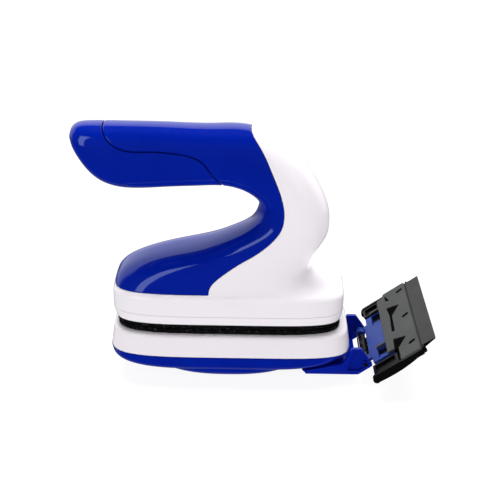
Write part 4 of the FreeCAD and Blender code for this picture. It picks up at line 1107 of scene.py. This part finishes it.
# ---- Floor, light and camera ----
FLOOR_RADIUS = 6.0
FLOOR_DROP = 0.0002
floor_bm = bmesh.new()
bmesh.ops.create_circle(floor_bm, cap_ends=True, radius=FLOOR_RADIUS, segments=96)
floor = add_object("floor", as_mesh(floor_bm))
floor.location.z = -FLOOR_DROP
pale = Tree("pale_floor")
pale.shade("Base Color", pale.mix(pale.noise(3.0), srgb(112, 112, 112), srgb(110, 110, 110)))
pale.shade("Roughness", 0.9)
pale.shade("Specular IOR Level", 0.1)
pale.shade("Emission Color", (1, 1, 1, 1))
pale.shade("Emission Strength", 0.9)
floor.data.materials.append(pale.material)
floor.visible_glossy = False

world = bpy.data.worlds.new("studio")
bpy.context.scene.world = world
world.use_nodes = True
world_nodes = world.node_tree.nodes
world_links = world.node_tree.links
background = world_nodes["Background"]
ray = world_nodes.new("ShaderNodeLightPath")
direction = world_nodes.new("ShaderNodeTexCoord")
split = world_nodes.new("ShaderNodeSeparateXYZ")
world_links.new(direction.outputs["Generated"], split.inputs["Vector"])


def world_ramp(axis, start, end, low, high):
    node = world_nodes.new("ShaderNodeMapRange")
    node.interpolation_type = "SMOOTHSTEP"
    set_range(node, start, end, low, high)
    world_links.new(split.outputs[axis], node.inputs["Value"])
    return node.outputs["Result"]


# bright behind the object and above it, dim round the camera and below
BACKDROP_TOP = 0.69
towards_back = world_ramp("Y", 0.0, 0.35, 0.05, 0.98)
above_floor = world_ramp("Z", -0.25, 0.02, 0.16, 1.0)
below_top = world_ramp("Z", BACKDROP_TOP, BACKDROP_TOP + 0.05, 1.0, 0.05)


def times(first, second):
    node = world_nodes.new("ShaderNodeMath")
    node.operation = "MULTIPLY"
    world_links.new(first, node.inputs[0])
    world_links.new(second, node.inputs[1])
    return node.outputs["Value"]


seen = world_nodes.new("ShaderNodeMix")
world_links.new(ray.outputs["Is Camera Ray"], seen.inputs["Factor"])
world_links.new(times(times(towards_back, above_floor), below_top), seen.inputs["A"])
seen.inputs["B"].default_value = 1.0
world_links.new(seen.outputs["Result"], background.inputs["Strength"])
background.inputs["Color"].default_value = (1, 1, 1, 1)


def softbox(name, place, aim, size, power, mirrored=False):
    """A rectangular light; only a mirrored one shows as a highlight."""
    data = bpy.data.lights.new(name, "AREA")
    data.shape = "RECTANGLE"
    data.size, data.size_y = size
    data.energy = power
    light = add_object(name, data)
    light.visible_glossy = mirrored
    light.location = place
    light.rotation_mode = "QUATERNION"
    light.rotation_quaternion = (Vector(aim) - Vector(place)).to_track_quat("-Z", "Y")


MIDDLE = (0.0, 0.0, 0.07)
softbox("overhead", (0.0, 0.25, 1.1), (0.0, 0.0, 0.08), (1.0, 0.8), 18.5)
softbox("front_left", (-0.9, -0.95, 0.42), MIDDLE, (0.45, 0.7), 4.8)
softbox("front_right", (1.0, -0.9, 0.5), MIDDLE, (0.45, 0.7), 6.0)
softbox("tall_strip", (-0.665, -0.949, 0.69), (0.0, 0.0, 0.1), (0.26, 1.08), 2.2, True)

camera_data = bpy.data.cameras.new("camera")
camera = add_object("camera", camera_data)
bpy.context.scene.camera = camera
camera_data.sensor_width = 36.0
camera_data.lens = 79.2
EYE = Vector((0.0129, -0.5960, 0.3489))
TARGET = Vector((0.0129, 0.0, 0.0773))
ROLL = math.radians(0.9)
back = (EYE - TARGET).normalized()
level_right = Vector((0, 0, 1)).cross(back).normalized()
right = level_right * math.cos(ROLL) + back.cross(level_right) * math.sin(ROLL)
facing = Matrix((right, back.cross(right), back)).transposed().to_4x4()
camera.matrix_world = Matrix.Translation(EYE) @ facing
bpy.context.scene.view_settings.view_transform = "Standard"
